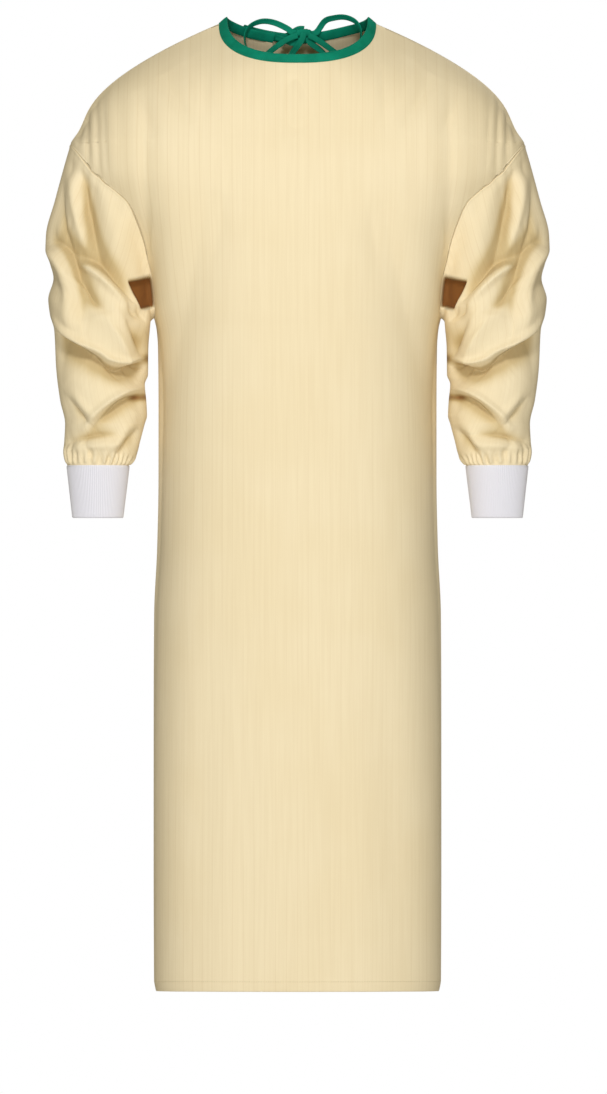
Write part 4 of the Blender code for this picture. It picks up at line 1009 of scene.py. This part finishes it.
def white_knit():
    made = Nodes("white_rib_knit")
    u, v = made.cloth_place()
    loops = made.math("SINE", made.math("MULTIPLY", v, TAU / (1.3 * MM)))
    ribs = made.math("SINE", made.math("MULTIPLY", u, TAU * CUFF_RIBS / CUFF_ROUND))
    shade = made.between(ribs, -1.0, 1.0)
    colour = made.blend(shade, (0.775, 0.775, 0.865, 1), (0.835, 0.835, 0.925, 1))
    fuzz = made.bump(made.noise(900.0, 3.0), 0.10 * MM, 0.5)
    knit = made.bump(loops, 0.10 * MM, 0.5, fuzz)
    shine = {"Roughness": 0.9, "Specular_IOR_Level": 0.2, "Sheen_Weight": 0.1}
    return made.finish(Base_Color=colour, Normal=knit, **shine)


def green_tape():
    made = Nodes("green_bias_tape")
    u, v = made.cloth_place()
    weave = made.weave(made.math("ADD", u, v), made.math("SUBTRACT", u, v), 0.5 * MM)
    shade = made.between(made.noise(60.0), 0.3, 0.7)
    colour = made.blend(shade, (0.001, 0.200, 0.120, 1), (0.002, 0.245, 0.150, 1))
    woven = made.bump(weave, 0.05 * MM, 0.6, made.bump(made.noise(140.0), 0.4 * MM, 0.4))
    return made.finish(Base_Color=colour, Normal=woven, Roughness=0.75, Specular_IOR_Level=0.12)


def thread(name, colour):
    made = Nodes(name)
    darker = tuple(channel * 0.8 for channel in colour)
    return made.finish(Base_Color=made.blend(made.noise(1500.0), colour, darker), Roughness=0.6)


def dress(piece, node):
    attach(piece, "root")
    if node:
        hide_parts(node)
    return piece


def make_body(cloth, sewing):
    """The three panels of the body, and their rows of stitches."""
    front_side, front_heights, front_outs = panel_rows(True)
    back_side, *back_rows = panel_rows(False)
    outer = lap_turns(OUTER_LAP_REACH, back_rows[0])
    inner = lap_turns(INNER_LAP_REACH, back_rows[0])
    front_rows = (-front_side, front_side, front_heights, front_outs)
    made = {
        "front_panel": panel(*front_rows, FRONT_COLUMNS, "seam", "seam"),
        "back_panel_left": panel(back_side, outer, *back_rows, BACK_COLUMNS, "seam", "turned"),
        "back_panel_right": panel(-inner, -back_side, *back_rows, BACK_COLUMNS, "turned", "seam"),
    }
    for node, grid in made.items():
        piece = dress(make_cloth(node + "_cloth", grid, cloth), node)

    hem_row = len(TURNED_HEM)
    for first, last in ((-QUARTER, QUARTER), (QUARTER, outer[hem_row]), (-inner[hem_row], -QUARTER)):
        turns = np.linspace(first, last, 700)
        sewing.append(body_stitches(turns, np.full(700, HEM_LEVEL + HEM_STITCHES_UP), 0.1 * MM))
    for reach, sign in ((OUTER_LAP_REACH, 1), (INNER_LAP_REACH, -1)):
        levels = np.linspace(HEM_LEVEL + 4 * MM, SHOULDER_LEVEL, 500)
        rows = np.concatenate([levels, np.linspace(SHOULDER_LEVEL, 0.97, 120)[1:]])
        edge = lap_turns((reach[0] - LAP_STITCHES_IN, reach[1] - LAP_STITCHES_IN), rows) * sign
        sewing.append(body_stitches(edge, rows, 0.1 * MM))
    for is_front in (True, False):
        turns, levels = armhole_half(is_front, 240)
        shifted = turns - ARMHOLE_STITCHES_IN if is_front else turns + ARMHOLE_STITCHES_IN
        for sign in (1, -1):
            sewing.append(body_stitches(shifted * sign, levels, 0.05 * MM))


def make_sleeves(cloth, knit):
    points, uv, shade = sleeve_grid()
    cuff_points, cuff_uv = cuff_grid()
    for side, flip in (("left", np.ones(3)), ("right", MIRROR)):
        flipped = side == "left"
        sleeve = make_cloth(f"sleeve_{side}_cloth", (points * flip, uv), cloth, flipped, shade)
        dress(sleeve, "sleeve_" + side)
        cuff = make_cloth(f"cuff_{side}_knit", (cuff_points * flip, cuff_uv), knit, flipped)
        dress(cuff, "cuff_" + side)


def make_neck(tape, sewing):
    points, uv, stitch_line, normal = band_grid()
    band = make_cloth("neck_binding_tape", (points, uv), tape)
    dress(band, "neck_binding")
    sewing.append(stitches(stitch_line, normal, BINDING_STITCH_GAP, BINDING_STITCH_LENGTH))
    for name, stops in TIE_ROUTES.items():
        path, lean = smooth_route(stops)
        piece = dress(make_cloth(name + "_tape", tape_grid(path, lean), tape), name)
    knot = dress(make_cloth("neck_knot_tape", knot_grid(), tape), "neck_knot")


def make_stage():
    sides = ((-FLOOR_HALF, -FLOOR_HALF), (FLOOR_HALF, -FLOOR_HALF))
    corners = (*sides, (FLOOR_HALF, FLOOR_BACK), (-FLOOR_HALF, FLOOR_BACK))
    points = np.array([(x, y, FLOOR_LEVEL) for x, y in corners])
    made = Nodes("pale_floor")
    colour = made.blend(made.noise(3.0), (0.74, 0.74, 0.73, 1), (0.78, 0.78, 0.77, 1))
    made.finish(Base_Color=colour, Roughness=0.9, Specular_IOR_Level=0.1)
    make_piece("studio_floor", points, np.array([[0, 1, 2, 3]]), made.material)


def add_light(name, place, aim, size, power):
    data = bpy.data.lights.new(name, "AREA")
    data.shape = "RECTANGLE"
    data.size, data.size_y = size
    data.energy = power
    lamp = bpy.data.objects.new(name, data)
    lamp.location = place
    direction = np.array(aim, float) - np.array(place, float)
    flat = math.hypot(direction[0], direction[1])
    heading = math.atan2(direction[1], direction[0]) - QUARTER
    lamp.rotation_euler = (math.atan2(flat, -direction[2]), 0, heading)
    bpy.context.scene.collection.objects.link(lamp)


def make_studio():
    scene = bpy.context.scene
    scene.view_settings.view_transform = "Standard"
    world = bpy.data.worlds.new("white_studio")
    world.use_nodes = True
    tree = world.node_tree
    backdrop = tree.nodes["Background"]
    backdrop.inputs["Color"].default_value = (1, 1, 1, 1)
    backdrop.inputs["Strength"].default_value = 1.0
    room = tree.nodes.new("ShaderNodeBackground")
    room.inputs["Color"].default_value = ROOM_COLOUR
    room.inputs["Strength"].default_value = ROOM_STRENGTH
    seen = tree.nodes.new("ShaderNodeLightPath")
    either = tree.nodes.new("ShaderNodeMixShader")
    tree.links.new(seen.outputs["Is Camera Ray"], either.inputs[0])
    tree.links.new(room.outputs[0], either.inputs[1])
    tree.links.new(backdrop.outputs[0], either.inputs[2])
    tree.links.new(either.outputs[0], tree.nodes["World Output"].inputs["Surface"])
    scene.world = world
    for light in STUDIO_LIGHTS:
        add_light(*light)
    camera_data = bpy.data.cameras.new("camera")
    camera_data.sensor_width = SENSOR
    camera_data.lens = SENSOR * CAMERA_DISTANCE / PHOTO_HEIGHT
    camera_data.clip_end = 100
    camera = bpy.data.objects.new("camera", camera_data)
    camera.location = (CAMERA_X, -CAMERA_DISTANCE, CAMERA_Z)
    camera.rotation_euler = (QUARTER, 0, 0)
    scene.collection.objects.link(camera)
    scene.camera = camera


def main():
    cloth, knit, tape = yellow_cloth(), white_knit(), green_tape()
    cream_thread = thread("cream_thread", (0.80, 0.69, 0.47, 1))
    green_thread = thread("green_thread", (0.006, 0.22, 0.14, 1))
    cloth_sewing, tape_sewing = [], []
    make_body(cloth, cloth_sewing)
    make_sleeves(cloth, knit)
    make_neck(tape, tape_sewing)
    dress(stitch_piece("cloth_stitches", cloth_sewing, cream_thread), None)
    dress(stitch_piece("binding_stitches", tape_sewing, green_thread), None)
    make_stage()
    make_studio()


main()
